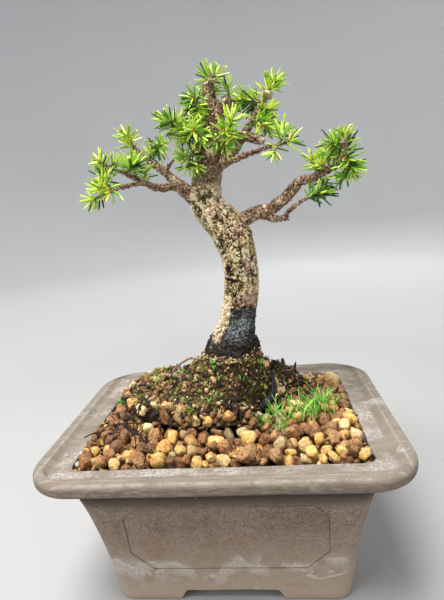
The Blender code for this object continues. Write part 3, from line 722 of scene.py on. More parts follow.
def combine(mesh, other, operation):
    """The union or difference of two closed meshes."""
    tool = bpy.data.objects.new("tool", other)
    bpy.context.scene.collection.objects.link(tool)
    made = applied(mesh, ("BOOLEAN", {"operation": operation, "solver": "EXACT", "object": tool}))
    bpy.data.objects.remove(tool)
    return made


def lip_profile():
    """(inset from the rim, height, corner radius) round the lip, from its underside to the opening."""
    half = LIP_THICKNESS / 2
    middle = POT_HEIGHT - half
    points = []
    for angle in np.linspace(-math.pi / 2, math.pi / 2, 17):
        # The lower half of the lip is squarer than a half circle
        power = 0.45 if angle < 0 else 0.8
        out, up = max(math.cos(angle), 0.0) ** power, abs(math.sin(angle)) ** power
        points.append((half * (1 - out), middle + math.copysign(half * up, angle), RIM_CORNER))
    points.append((BEAD_WIDTH * 0.8, POT_HEIGHT - BEAD_FALL * 0.35, 18.0))
    for t in np.linspace(0, 1, 8):
        drop = BEAD_FALL + (SHELF_DROP - BEAD_FALL) * t * t * (3 - 2 * t)
        corner = BEAD_CORNER + (SHELF_CORNER - BEAD_CORNER) * t
        points.append((BEAD_WIDTH + BEAD_SLOPE_WIDTH * t, POT_HEIGHT - drop, corner))
    shelf_end = RIM_HALF[0] - OPENING_HALF[0]
    points.append((shelf_end - 4.0, SHELF - 0.15, 6.5))
    for angle in np.linspace(0, math.pi / 2, 5):
        fall = 0.9 * (1 - math.cos(angle))
        points.append((shelf_end - 0.9 * (1 - math.sin(angle)), SHELF - 0.1 - fall, INSIDE_CORNER))
    points.append((shelf_end, LIP_UNDERSIDE, INSIDE_CORNER))
    return points


def arch_outline(half_width, height):
    steps = np.linspace(0, 1, 13)
    left = [(-half_width - ARCH_CURVE * (1 - t), height * t * t * (3 - 2 * t)) for t in steps]
    half = [(-half_width - ARCH_CURVE, -height), *left]
    return half + [(-x, z) for x, z in reversed(half)]


def panel_outline(top_half, bottom_half, by=0.0):
    """A chamfered panel, grown by a little."""
    chamfer_x, chamfer_z = PANEL_CHAMFER
    cut = by * math.tan(math.pi / 8)
    right = [
        (bottom_half - chamfer_z + cut, PANEL_BOTTOM - by),
        (bottom_half + by, PANEL_BOTTOM + chamfer_z - cut),
        (top_half + by, PANEL_TOP - chamfer_x + cut),
        (top_half - chamfer_x + cut, PANEL_TOP + by),
    ]
    return right + [(-x, z) for x, z in reversed(right)]


def body_loft(inset):
    levels = np.linspace(0, LIP_UNDERSIDE, 15)
    return loft([rounded_ring(grown(body_half(z), -inset), BODY_CORNER, z) for z in levels])


def wall_half(z, gap=0.0):
    """Half the hollow's length and width at a height, less a gap."""
    return tuple(min(side - WALL, opening) - gap for side, opening in zip(body_half(z), OPENING_HALF))


def make_pot():
    levels = np.linspace(FOOT_EDGE, LIP_UNDERSIDE, 24)[1:]
    rings = [rounded_ring(grown(FOOT_HALF, -FOOT_EDGE), BODY_CORNER, 0.0)]
    for angle in np.linspace(0.25, 1.0, 4) * math.pi / 2:
        inset = FOOT_EDGE * (1 - math.sin(angle))
        height = FOOT_EDGE * (1 - math.cos(angle))
        rings.append(rounded_ring(grown(body_half(height), -inset), BODY_CORNER, height))
    rings += [rounded_ring(body_half(z), BODY_CORNER, z) for z in levels]
    for inset, z, corner in lip_profile():
        mixed = min(inset / (RIM_HALF[0] - OPENING_HALF[0]), 1.0)
        half = tuple(rim + (opening - rim) * mixed for rim, opening in zip(RIM_HALF, OPENING_HALF))
        rings.append(rounded_ring(half, corner, z))
    for z in np.linspace(LIP_UNDERSIDE - 6, FLOOR_TOP, 6):
        rings.append(rounded_ring(wall_half(z), INSIDE_CORNER, z))
    pot = loft(rings)

    wide = 2 * RIM_HALF[0]
    under_half = grown(FOOT_HALF, -FOOT_WIDTH)
    levels = (-FOOT_HEIGHT, FOOT_HEIGHT + ARCH_STAGGER)
    under = loft([rounded_ring(under_half, INSIDE_CORNER, z) for z in levels])
    under = combine(under, prism(arch_outline(FRONT_ARCH_HALF, FOOT_HEIGHT), wide, 0.0), "UNION")
    side_arch = arch_outline(SIDE_ARCH_HALF, FOOT_HEIGHT - ARCH_STAGGER)
    under = combine(under, prism(side_arch, wide, math.pi / 2), "UNION")
    pot = combine(pot, under, "DIFFERENCE")
    for side in (-1, 1):
        turn = np.arange(32) * math.pi / 16
        x, y = np.cos(turn) * DRAIN_RADIUS + side * DRAIN_SPACING / 2, np.sin(turn) * DRAIN_RADIUS
        rings = [np.stack([x, y, np.full(32, z)], 1) for z in (2.0, FLOOR_TOP + 4)]
        pot = combine(pot, loft(rings), "DIFFERENCE")
    middle = (PANEL_TOP + PANEL_BOTTOM) / 2
    for side, turn in ((0, 0.0), (1, math.pi / 2)):
        top_half = body_half(PANEL_TOP)[side] - PANEL_TOP_MARGIN
        bottom_half = body_half(middle)[side] - PANEL_BOTTOM_MARGIN
        for depth, by in ((PANEL_DEPTH, 0.0), (GROOVE_DEPTH, GROOVE_HALF)):
            tool = prism(panel_outline(top_half, bottom_half, by), wide, turn)
            if by:
                inner = prism(panel_outline(top_half, bottom_half, -by), wide + 10, turn)
                tool = combine(tool, inner, "DIFFERENCE")
            tool = combine(tool, body_loft(depth), "DIFFERENCE")
            pot = combine(pot, tool, "DIFFERENCE")
    # Hand-made clay is nowhere quite flat, apart from the feet
    for vert in pot.vertices:
        if vert.co.z > 2 * MM:
            vert.co += vert.normal * WARP * MM * noise.noise(vert.co / (WARP_WIDTH * MM))
    pot.shade_smooth()
    pot.set_sharp_from_angle(angle=math.radians(28))
    return piece("pot_clay", pot, clay_material(), "clay", "pot")


# What the pot holds

SOIL_VOXEL = 0.85
CELL = 0.5
GRID_HALF = (76.0, 58.0)
LEAST_FALL = 0.05
BED_LOW = 76.5
GRAVEL_LEVEL = 85.2
TRUNK_FOOT = (5.0, 10.0)
# Behind this line the mound is stretched to the pot's wall
STRETCH_FROM = 38.0


def soft_step(value, low, high):
    t = np.clip((value - low) / (high - low), 0.0, 1.0)
    return t * t * (3 - 2 * t)


def make_soil():
    """The mossy mound round the trunk's foot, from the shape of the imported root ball."""
    verts, tris = arrays(NODES["root_ball"].data)
    mesh = applied(
        mesh_from("soil", verts, tris),
        ("REMESH", {"mode": "VOXEL", "voxel_size": SOIL_VOXEL * MM}),
        ("SMOOTH", {"factor": 0.5, "iterations": 6}),
    )
    verts, normals = points_and_normals(mesh)
    height = 1.0 * fractal(verts / 7.0, 2, 50) + 1.5 * fractal(verts / 2.4, 3, 60, 0.7)
    verts = verts + normals * height[:, None]
    # At the back it reaches the pot's wall and slopes down to it
    behind = verts[:, 1] > STRETCH_FROM
    share = (verts[behind, 1] - STRETCH_FROM) / (verts[:, 1].max() - STRETCH_FROM)
    verts[behind, 1] = STRETCH_FROM + share * (OPENING_HALF[1] - 0.3 - STRETCH_FROM)
    verts[:, 2] -= 6.5 * soft_step(verts[:, 1], 40.0, 53.5) * soft_step(verts[:, 2], 84.0, 92.0)
    # The mound is a little lower behind, on the left
    behind_left = soft_step(-verts[:, 0], 22.0, 40.0) * soft_step(verts[:, 1], 0.0, 24.0)
    verts[:, 2] -= 3.4 * (behind_left * soft_step(verts[:, 2], 86.0, 98.0))
    put_points(mesh, verts)
    mesh.shade_smooth()
    piece("soil", mesh, soil_material(), "moss", "root_ball")
    return mesh


class Ground:
    """A height field over the pot's opening, on which grains come to rest."""

    def __init__(self, soil):
        self.shape = tuple(int(2 * half / CELL) + 1 for half in GRID_HALF)
        tree = BVHTree.FromPolygons([v.co for v in soil.vertices], [tuple(p.vertices) for p in soil.polygons])
        self.mound = np.zeros(self.shape)
        for i, j in np.ndindex(self.shape):
            x, y = i * CELL - GRID_HALF[0], j * CELL - GRID_HALF[1]
            hit = tree.ray_cast(Vector((x, y, 160.0)) * MM, Vector((0, 0, -1)))[0]
            if hit is not None:
                self.mound[i, j] = hit.z / MM
        self.height = np.maximum(BED_LOW, self.mound)
        self.discs = {}

    def cell(self, x, y):
        return int(round((x + GRID_HALF[0]) / CELL)), int(round((y + GRID_HALF[1]) / CELL))

    def within(self, i, j):
        return np.clip(i, 0, self.shape[0] - 1), np.clip(j, 0, self.shape[1] - 1)

    def slope(self, low, high=math.inf):
        """The places where the mound stands between two heights."""
        return np.argwhere((self.mound > low) & (self.mound < high)) * CELL - GRID_HALF

    def disc(self, x, y, radius):
        """The cells under a ball, and how far its lower half lies under its centre there."""
        key = round(radius, 1)
        if key not in self.discs:
            reach = int(key / CELL)
            i, j = np.mgrid[-reach : reach + 1, -reach : reach + 1]
            away = (i * i + j * j) * CELL * CELL
            inside = away < key * key
            self.discs[key] = (i[inside], j[inside], np.sqrt(key * key - away[inside]))
        i, j, cap = self.discs[key]
        a, b = self.cell(x, y)
        return self.within(a + i, b + j), cap

    def rest(self, x, y, radius):
        """The height of the centre of a ball that touches the ground at a place."""
        cells, cap = self.disc(x, y, radius)
        return float((self.height[cells] + cap).max())

    def drop(self, x, y, radius, limit, slides=14, step=1.0):
        """The centre of a ball that has rolled downhill from a place, within a limit."""
        z = self.rest(x, y, radius)
        for _ in range(slides):
            best = (z - LEAST_FALL, x, y)
            for turn in range(8):
                nx = x + step * math.cos(turn * math.pi / 4)
                ny = y + step * math.sin(turn * math.pi / 4)
                if abs(nx) > limit[0] - radius or abs(ny) > limit[1] - radius:
                    continue
                here = self.rest(nx, ny, radius)
                if here < best[0]:
                    best = (here, nx, ny)
            if best[0] >= z - LEAST_FALL:
                break
            z, x, y = best
        return x, y, z

    def mark(self, x, y, z, radius):
        """Raises the ground to the top of a ball that has come to rest."""
        cells, cap = self.disc(x, y, radius)
        np.maximum.at(self.height, cells, z + cap)

    def top(self, x, y):
        return float(self.height[self.within(*self.cell(x, y))])


def lumps(template, rng, count, planes=16, sharpness=13.0, pitted=0.06, cuts=(0.62, 0.98), grain=2.6):
    """Unit pebbles: each is a ball cut by random planes and roughened. (count, verts, 3)"""
    ways = unit(template)
    shapes = []
    for n in range(count):
        normals = unit(rng.normal(size=(planes, 3)))
        facing = np.maximum(ways @ normals.T, 0.0) / rng.uniform(*cuts, planes)
        reach = 1 / np.maximum((facing**sharpness).sum(1) ** (1 / sharpness), 1e-3)
        reach = np.minimum(reach, 1.15)
        rough = fractal(ways * grain + 9.1 * n, 3, n, 0.75)
        shapes.append(ways * (reach + pitted * 2 * rough)[:, None])
    return np.array(shapes)


GRAVEL_KINDS = [
    # name, share, dark, main, light, roughness
    ("gravel_brown", 0.41, (72, 36, 17), (153, 105, 62), (206, 164, 114), 0.36),
    ("gravel_umber", 0.18, (56, 30, 16), (128, 86, 50), (180, 138, 94), 0.38),
    ("gravel_gold", 0.25, (160, 104, 44), (220, 168, 86), (250, 218, 150), 0.32),
    ("gravel_cream", 0.10, (166, 128, 74), (228, 192, 126), (248, 228, 180), 0.34),
    ("gravel_olive", 0.06, (100, 82, 50), (166, 144, 96), (206, 184, 136), 0.38),
]
ROUGH_KINDS = ("gravel_brown", "gravel_umber")
# Each grain takes one of these shares of its kind's red, green and blue
GRAVEL_TINTS = [(0.86, 0.84, 0.84), (1.0, 1.0, 1.0), (1.1, 1.11, 1.12), (1.02, 0.97, 0.92)]


class Sorts:
    """Kinds of stone, each with a heap of its own."""

    def __init__(self, kinds):
        self.names = [kind[0] for kind in kinds]
        self.chances = np.array([kind[1] for kind in kinds])
        self.heaps = {name: Heap() for name in self.names}

    def pick(self, rng, leanings):
        """A kind, drawn by the kinds' shares and by leanings towards some of them."""
        here = np.maximum(self.chances * np.array(leanings), 0.0)
        return rng.choice(self.names, p=here / here.sum())


GRAIN_RADIUS, GRAIN_SPREAD, GRAIN_RANGE = 3.7, 0.65, (2.2, 5.0)
LARGE_GRAIN = 3.1
# The bed is full after this many misses in a row; then smaller grains fill its margins
FULL_AFTER, WALL_GRAINS, FOOT_GRAINS = 110, 360, 420
MOUND_FOOT, MOUND_SHOWS = (83.0, 94.0), 94.5
WALL_GAP = 0.2


def make_gravel(ground):
    rng = np.random.default_rng(41)
    template, faces = ball(3)
    variants = lumps(template, rng, 50, pitted=0.05)
    fine_template, fine_faces = ball(4)
    rough_shape = {"planes": 13, "sharpness": 17.0, "pitted": 0.085, "cuts": (0.60, 0.96), "grain": 3.6}
    blocks = lumps(fine_template, rng, 40, **rough_shape)
    sorts = Sorts(GRAVEL_KINDS)
    limit = np.array(OPENING_HALF) - WALL_GAP

    def grain_radius(share=1.0):
        return float(np.clip(rng.normal(GRAIN_RADIUS, GRAIN_SPREAD), *GRAIN_RANGE)) * share

    def lay(x, y, radius, rise=0.0):
        """Drops a grain and says whether it stays, which it does unless it lies too high."""
        x, y, z = ground.drop(x, y, radius, limit)
        mound = ground.mound[ground.cell(x, y)]
        edge = min(limit[0] - abs(x), limit[1] - abs(y))
        level = GRAVEL_LEVEL + 2.4 * min(edge / 14, 1.0) + rise
        if z > level + 1.8 + (6.0 if mound > 80 else 0) or mound > MOUND_SHOWS:
            return False
        ground.mark(x, y, z, radius * 0.97)
        # Grains of one colour tend to lie together
        lean = clouds(np.array([[x, y, 0.0]]) / 14.0, 5)[0]
        name = sorts.pick(rng, [1 - 0.5 * lean, 1 - 0.6 * lean, 1 + 0.9 * lean, 1 + 0.9 * lean, 1.0])
        turn = random_turns(rng, 1)[0]
        size = radius * np.array([1.12, 1.0, 0.9]) * rng.uniform(0.93, 1.07, 3)
        rough = name in ROUGH_KINDS and radius > LARGE_GRAIN
        shapes, tris = (blocks, fine_faces) if rough else (variants, faces)
        shape = shapes[rng.integers(len(shapes))] * size
        sorts.heaps[name].add(shape @ turn.T + (x, y, z), tris, rng.integers(len(GRAVEL_TINTS)))
        return True

    misses = 0
    while misses < FULL_AFTER:
        radius = grain_radius()
        x, y = (rng.uniform(-1, 1) * (side - radius) for side in limit)
        misses = 0 if lay(x, y, radius) else misses + 1
    for _ in range(WALL_GRAINS):
        radius = grain_radius(0.72)
        reach = limit - radius
        x, y = (rng.uniform(-1, 1) * side for side in reach)
        wall = rng.random()
        if wall < 0.5:
            x = math.copysign(reach[0] - rng.uniform(0, 0.8), x)
        if wall > 0.35:
            y = math.copysign(reach[1] - rng.uniform(0, 0.8), y)
        lay(x, y, radius, 0.7)
    foot = ground.slope(*MOUND_FOOT)
    for _ in range(FOOT_GRAINS):
        radius = grain_radius(0.8)
        x, y = foot[rng.integers(len(foot))]
        if abs(x) <= limit[0] - radius and abs(y) <= limit[1] - radius:
            lay(x, y, radius)
    for name, _, dark, main, light, rough in GRAVEL_KINDS:
        stones = []
        for n, tint in enumerate(GRAVEL_TINTS):
            tones = [np.minimum(255, np.multiply(tone, tint)) for tone in (dark, main, light)]
            stones.append(grain_material(f"{name}_stone_{n}", *tones, roughness=rough))
        piece(name, sorts.heaps[name].mesh(name), stones, "gravel", "gravel_bed")


def make_bed():
    """The dark fine soil under the gravel."""
    rings = []
    for z in (FLOOR_TOP + 0.3, 45.0, BED_LOW - 1.5):
        rings.append(rounded_ring(wall_half(z, 0.3), INSIDE_CORNER, z))
    half = rings[-1]
    for share in (0.8, 0.6, 0.4, 0.2):
        rings.append(half * (share, share, 1.0) + (0, 0, 0.5))
    piece("bed_soil", loft(rings), soil_material(), "gravel", "gravel_bed")


GRIT_KINDS = [
    # name, share, dark, main, light
    ("grit_black", 0.26, (12, 8, 5), (32, 24, 16), (64, 50, 34)),
    ("grit_brown", 0.30, (66, 38, 20), (138, 96, 58), (190, 148, 102)),
    ("grit_olive", 0.14, (60, 60, 28), (122, 120, 62), (176, 168, 102)),
    ("grit_tan", 0.21, (132, 98, 54), (202, 164, 104), (238, 212, 160)),
    ("grit_pale", 0.09, (156, 146, 120), (208, 198, 170), (238, 232, 212)),
]
# How many larger pieces of each kind lie on the mound
MOUND_STONES = {"grit_brown": 12, "grit_tan": 10, "grit_pale": 5, "grit_olive": 3}
SURFACE_CHIPS, FOOT_CRUMBS, LOOSE_CRUMBS, TRUNK_CRUMBS = 3000, 480, 620, 1300
# The shares of the kinds at the mound's foot, between the grains of gravel, and on the trunk's foot
FOOT_MIX, LOOSE_MIX, TRUNK_MIX = (
    (0.3, 0.42, 0.08, 0.15, 0.05), (0.2, 0.5, 0.12, 0.15, 0.03), (0.2, 0.25, 0.22, 0.25, 0.08)
)
BAND_CLEARANCE = 1.7
BAND_OUT = unit(np.array([1.0, -0.25, 1.1]))


def band_path():
    """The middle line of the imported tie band, lifted clear of the grit."""
    verts, _ = arrays(NODES["tie_band"].data)
    unique = np.unique(np.round(verts / MM, 4), axis=0)
    order = np.argsort(unique @ unit([0.15, -1.0, -0.9]))
    rings = unique[order].reshape(-1, 4, 3)
    return smooth_path(rings.mean(1) + 1.5 * BAND_OUT, 0.7)


def make_grit(ground, soil):
    """Grit, chips and crumbs on the mound and the trunk's foot, and between the grains of gravel."""
    rng = np.random.default_rng(77)
    coarse, coarse_faces = ball(2)
    small, small_faces = ball(1)
    big_variants = lumps(coarse, rng, 30, planes=9, sharpness=20.0, pitted=0.08, cuts=(0.5, 0.95))
    small_variants = lumps(small, rng, 20, pitted=0.12)
    sorts = Sorts(GRIT_KINDS)
    band = band_path()

    def chip(spot, radius, name):
        if np.linalg.norm(band - spot, axis=1).min() < BAND_CLEARANCE + radius:
            return
        variants, faces = (big_variants, coarse_faces) if radius > 0.6 else (small_variants, small_faces)
        size = radius * np.array([rng.uniform(1.0, 1.7), rng.uniform(0.7, 1.1), rng.uniform(0.5, 0.85)])
        shape = variants[rng.integers(len(variants))] * size
        sorts.heaps[name].add(shape @ random_turns(rng, 1)[0].T + spot, faces)

    def crumb(x, y, z, radius, mix):
        chip(np.array([x, y, z - 0.1]), radius, rng.choice(sorts.names, p=mix))
        ground.mark(x, y, z, radius)

    verts, tris = arrays(soil)
    a, b, c = (verts[tris[:, n]] for n in range(3))
    cross = np.cross(b - a, c - a)
    normal = unit(cross)
    weight = np.linalg.norm(cross, axis=1) * (normal[:, 2] > 0.1)
    picks = rng.choice(len(tris), SURFACE_CHIPS, p=weight / weight.sum())
    share = rng.dirichlet((1, 1, 1), len(picks))
    spots = np.einsum("nk,nkd->nd", share, np.stack([a, b, c], 1)[picks]) / MM
    zones = fractal(spots / 8.0, 2, 70)
    for spot, out, zone in zip(spots, normal[picks], zones):
        radius = float(np.clip(rng.lognormal(-0.55, 0.5), 0.28, 2.0))
        leanings = [1 + 3.5 * max(zone, 0), 1, 1 - 1.5 * min(zone, 0), 1 - 1.2 * zone, 1 - 1.5 * zone]
        chip(spot + out * radius * 0.2, radius, sorts.pick(rng, leanings))
        ground.mark(*spot, max(radius, 0.6))
    foot = ground.slope(84.0, 95.0)
    for x, y in foot[rng.integers(len(foot), size=FOOT_CRUMBS)]:
        radius = float(rng.uniform(0.8, 2.1))
        x, y, z = ground.drop(x, y, radius, OPENING_HALF, 5, 0.8)
        if z <= 99.0:
            crumb(x, y, z, radius, FOOT_MIX)
    slope = ground.slope(91.0)
    for name, count in MOUND_STONES.items():
        for x, y in slope[rng.integers(len(slope), size=count)]:
            radius = float(rng.uniform(1.3, 2.4))
            chip(np.array([x, y, ground.top(x, y) + radius * 0.2]), radius, name)
    for _ in range(LOOSE_CRUMBS):
        radius = float(rng.uniform(0.5, 1.5))
        x, y = (rng.uniform(-1, 1) * (side - radius) for side in OPENING_HALF)
        x, y, z = ground.drop(x, y, radius, OPENING_HALF, 8, 0.8)
        if z <= POT_HEIGHT + 1 or ground.mound[ground.cell(x, y)] >= 80:
            crumb(x, y, z, radius, LOOSE_MIX)
    for _ in range(TRUNK_CRUMBS):
        angle, level = rng.uniform(0, 2 * math.pi), rng.uniform(0, 1) ** 1.3
        z = GROUND_LEVEL - 1.5 + 9.5 * level
        reach = trunk_radius(0.0, z) + 1.9 * (1 - level) ** 2 + rng.normal(0.1, 0.25)
        x = TRUNK_FOOT[0] + 0.27 * (z - GROUND_LEVEL) + reach * math.cos(angle)
        y = TRUNK_FOOT[1] + reach * math.sin(angle)
        dark = level > rng.uniform(0.1, 0.55)
        name = "grit_black" if dark else rng.choice(sorts.names, p=TRUNK_MIX)
        chip(np.array((x, y, z)), float(rng.uniform(0.3, 0.95)), name)
    for name, _, *tones in GRIT_KINDS:
        piece(name, sorts.heaps[name].mesh(name), grain_material(name + "_stone", *tones, 1.0, 0.8), "moss")


def blade(root, tip, width, bend, sides=3):
    """A thin tapering blade of grass or moss: vertices and triangles."""
    t = np.linspace(0, 1, 5)[:, None]
    path = root + (tip - root) * t + np.asarray(bend) * (t * (1 - t)) * 2
    return tube(path, width / 2 * np.array([0.7, 1.0, 0.85, 0.6, 0.15]), sides)


GRASS_CLUMPS = [
    # place on the gravel, blades, height
    ((24.0, -21.0), 10, 9.5), ((28.5, -15.0), 15, 12.5), ((33.0, -20.5), 12, 11.0), ((36.0, -10.0), 15, 13.0),
    ((40.0, -16.0), 13, 12.0), ((44.5, -8.5), 13, 14.0), ((49.0, -3.0), 18, 17.0), ((53.5, -9.0), 13, 15.0),
    ((55.0, 1.0), 16, 16.0), ((47.5, -14.0), 8, 10.0), ((29.5, -25.0), 7, 9.0), ((58.0, -3.0), 10, 13.0),
    ((38.0, 2.0), 6, 6.0), ((-45.9, 21.2), 6, 8.0), ((-65.5, 16.0), 16, 6.5), ((-63.0, 12.0), 8, 4.5),
    ((-3.8, -5.1), 5, 3.5), ((-22.5, -6.7), 5, 3.5), ((-8.0, -12.8), 6, 3.5), ((22.0, 5.9), 5, 4.0),
    ((20.7, 2.4), 4, 3.5),
    ((-3.3, -9.0), 4, 3.0), ((9.9, -7.2), 4, 3.0), ((2.0, 44.0), 8, 8.0), ((-30.0, 36.0), 7, 7.0),
    ((26.0, 26.0), 5, 5.0),
]
MOSS_CLUMPS, MOSS_REACH = 240, (62.0, 46.0)


def make_greens(ground):
    rng = np.random.default_rng(5)
    grass, moss = Heap(), Heap()
    for (x, y), blades, height in GRASS_CLUMPS:
        for _ in range(blades):
            at = np.array([x, y, 0.0]) + (*rng.normal(0, min(2.1, height * 0.22), 2), 0.0)
            at[2] = ground.top(at[0], at[1]) - 1.2
            lean = rng.normal(0, 0.48, 2)
            long = height * rng.uniform(0.5, 1.1)
            tip = at + unit([lean[0], lean[1], 1.0]) * (long + 1.2)
            bend = np.array([*rng.normal(0, 1.2, 2), 0.8])
            grass.add(*blade(at, tip, rng.uniform(0.48, 0.72), bend), rng.integers(3))
    made = 0
    while made < MOSS_CLUMPS:
        x, y = (rng.uniform(-1, 1) * reach for reach in MOSS_REACH)
        if ground.mound[ground.cell(x, y)] < 89.5 or noise.noise(Vector((x, y, 0)) / 9) < 0.02:
            continue
        made += 1
        for _ in range(rng.integers(5, 12)):
            at = np.array([x, y, 0.0]) + (*rng.normal(0, 0.8, 2), 0.0)
            at[2] = ground.top(at[0], at[1]) - 0.7
            tip = at + unit([*rng.normal(0, 0.5, 2), 1.0]) * rng.uniform(0.9, 2.0)
            moss.add(*blade(at, tip, rng.uniform(0.4, 0.65), (0, 0, 0)), rng.integers(2))
    greens = [
        moss_material("grass_green", (92, 172, 50), (138, 214, 82)),
        moss_material("grass_light", (142, 208, 88), (192, 236, 136)),
        moss_material("grass_deep", (56, 122, 26), (92, 164, 44)),
    ]
    mosses = [
        moss_material("moss_green", (52, 70, 20), (98, 120, 38)),
        moss_material("moss_light", (112, 130, 36), (166, 182, 70)),
    ]
    piece("grass", grass.mesh("grass"), greens, "needles")
    piece("moss", moss.mesh("moss"), mosses, "moss")


def make_roots(ground):
    """Surface roots, a root loop, fine black roots and a few broken stubs."""
    rng = np.random.default_rng(15)
    brown, black = Heap(), Heap()

    def root(heap, path, thick, thin, sides=6, rough=0.2):
        heap.add(*tube(path, np.linspace(thick, thin, len(path)), sides, rough, rng))

    def lying(points, lift):
        """A path over the ground, a little above it."""
        path = smooth_path(points, 1.0)
        path[:, 2] = [ground.top(x, y) + lift for x, y in path[:, :2]]
        for _ in range(3):
            path[1:-1] = (path[:-2] + 2 * path[1:-1] + path[2:]) / 4
        return path

    for points, thick, thin in ROOTS_BROWN:
        root(brown, smooth_path(points, 0.8), thick, thin, 8, 0.16)
    for points, thick, thin in ROOTS_BLACK:
        root(black, smooth_path(points, 0.8), thick, thin)
    for x, y, count, spread in ROOT_TANGLES:
        for _ in range(count):
            heading = rng.uniform(0, 2 * math.pi)
            at = np.array([x, y]) + rng.normal(0, spread, 2)
            points = []
            for _ in range(rng.integers(5, 10)):
                points.append((*np.clip(at, (-70, -52), (70, 52)), 0.0))
                heading += rng.normal(0, 0.6)
                at = at + 2.4 * np.array([math.cos(heading), math.sin(heading)])
            thick = rng.uniform(0.26, 0.5)
            root(black, lying(points, 0.9), thick, thick * 0.5)
    for x, y, tall, lean in ROOT_STUBS:
        low = ground.top(x, y) - 1.5
        points = [(x, y, low), (x + lean * 0.4, y, low + tall * 0.5), (x + lean, y + 0.6, low + tall + 1.5)]
        root(black, smooth_path(points, 0.7), 1.3, 0.4, 7, 0.35)
    piece("surface_roots", brown.mesh("surface_roots"), twig_material(), "moss")
    dark = grain_material("root_black", (13, 9, 7), (40, 29, 22), (86, 66, 50), 1.2)
    piece("fine_roots", black.mesh("fine_roots"), dark, "moss")


ROOTS_BROWN = [
    # path, thickness at its start and end
    ([(-11.0, 8.0, 116.0), (-13.4, 6.3, 117.0), (-16.1, 6.0, 118.0), (-19.1, 6.5, 117.9),
      (-23.7, 8.0, 115.4), (-28.0, 10.0, 111.8), (-33.0, 14.5, 105.0)], 0.75, 0.5),
    ([(-12.0, 4.0, 109.0), (-23.2, 6.3, 106.6), (-32.6, 22.0, 101.8), (-42.8, 33.4, 98.4),
      (-47.8, 36.5, 96.8), (-53.0, 38.0, 95.0), (-58.2, 39.0, 92.8), (-63.5, 40.0, 89.0)], 1.35, 0.9),
    ([(12.0, 26.0, 110.0), (20.0, 33.0, 102.0), (30.0, 40.0, 97.0), (38.0, 44.0, 91.0)], 1.2, 0.7),
]
ROOTS_BLACK = [
    ([(-73.5, -27.0, 88.4), (-69.5, -26.0, 89.8), (-65.7, -25.0, 90.0), (-60.0, -23.0, 88.6),
      (-54.0, -19.0, 90.0)], 0.4, 0.35),
    ([(-62.0, -14.0, 88.5), (-56.0, -18.0, 91.0), (-49.0, -19.0, 91.5), (-42.0, -17.0, 90.5)], 0.4, 0.3),
    ([(-12.0, -8.0, 101.8), (-4.0, -12.5, 101.6), (4.0, -13.4, 100.6), (10.0, -12.0, 99.8)], 0.45, 0.35),
]
ROOT_TANGLES = [
    # place, roots, spread
    (-58.0, -16.0, 24, 5.0), (-50.0, -21.0, 10, 4.5), (-56.0, 12.0, 14, 7.0), (38.0, 33.0, 24, 7.0),
    (34.0, 27.0, 14, 4.0), (-30.0, 8.0, 12, 9.0), (8.0, -14.0, 8, 5.0), (-10.0, 44.0, 14, 9.0),
    (-52.0, -6.0, 10, 5.0), (44.0, 22.0, 8, 4.0),
]
ROOT_STUBS = [
    # place, height, lean
    (30.5, 33.0, 5.0, 1.5), (35.5, 36.0, 6.0, -1.5), (41.0, 37.0, 4.5, 2.0), (25.5, 30.0, 3.5, 0.8),
]


# The tie band

BAND_HALF_WIDTH, BAND_HALF_THICKNESS, BAND_SQUARENESS = 1.75, 0.42, 0.5
BAND_TWIST, BAND_TWIST_FADE = 1.4, 3.0
BAND_STRANDS, STRAND_RADIUS = 3, 0.8


def make_tie_band():
    """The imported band's path again, with rounder edges, a twisted upper end and frayed strands."""
    path = band_path()
    turn = np.linspace(0, 2 * math.pi, 16, endpoint=False)
    across = np.sign(np.cos(turn)) * np.abs(np.cos(turn)) ** BAND_SQUARENESS
    profile = np.stack([BAND_HALF_WIDTH * across, BAND_HALF_THICKNESS * np.sin(turn)], 1)
    sections = []
    for i, (point, way) in enumerate(zip(path, unit(np.gradient(path, axis=0)))):
        wide = unit(np.cross(way, BAND_OUT))
        high = np.cross(wide, way)
        twist = BAND_TWIST * math.exp(-i / BAND_TWIST_FADE)
        cos, sin = math.cos(twist), math.sin(twist)
        wide, high = wide * cos + high * sin, high * cos - wide * sin
        sections.append(point + profile[:, :1] * wide + profile[:, 1:] * high)
    mesh = loft(sections)
    mesh.shade_smooth()
    mesh.set_sharp_from_angle(angle=math.radians(50))
    rng = np.random.default_rng(3)
    strands = Heap()
    start = path[0]
    for _ in range(BAND_STRANDS):
        end = start + rng.normal(0, 0.8, 3) + (1.5, 0.6, 5.0)
        strand = smooth_path([start, (start + end) / 2 + rng.normal(0, 0.5, 3), end], 0.6)
        strands.add(*tube(strand, STRAND_RADIUS, 6, 0.3, rng))
    piece("tie_band_end", strands.mesh("tie_band_end"), band_material(), "black_band")
    piece("tie_band_strap", mesh, band_material(), "black_band", "tie_band")


# The trunk and boughs

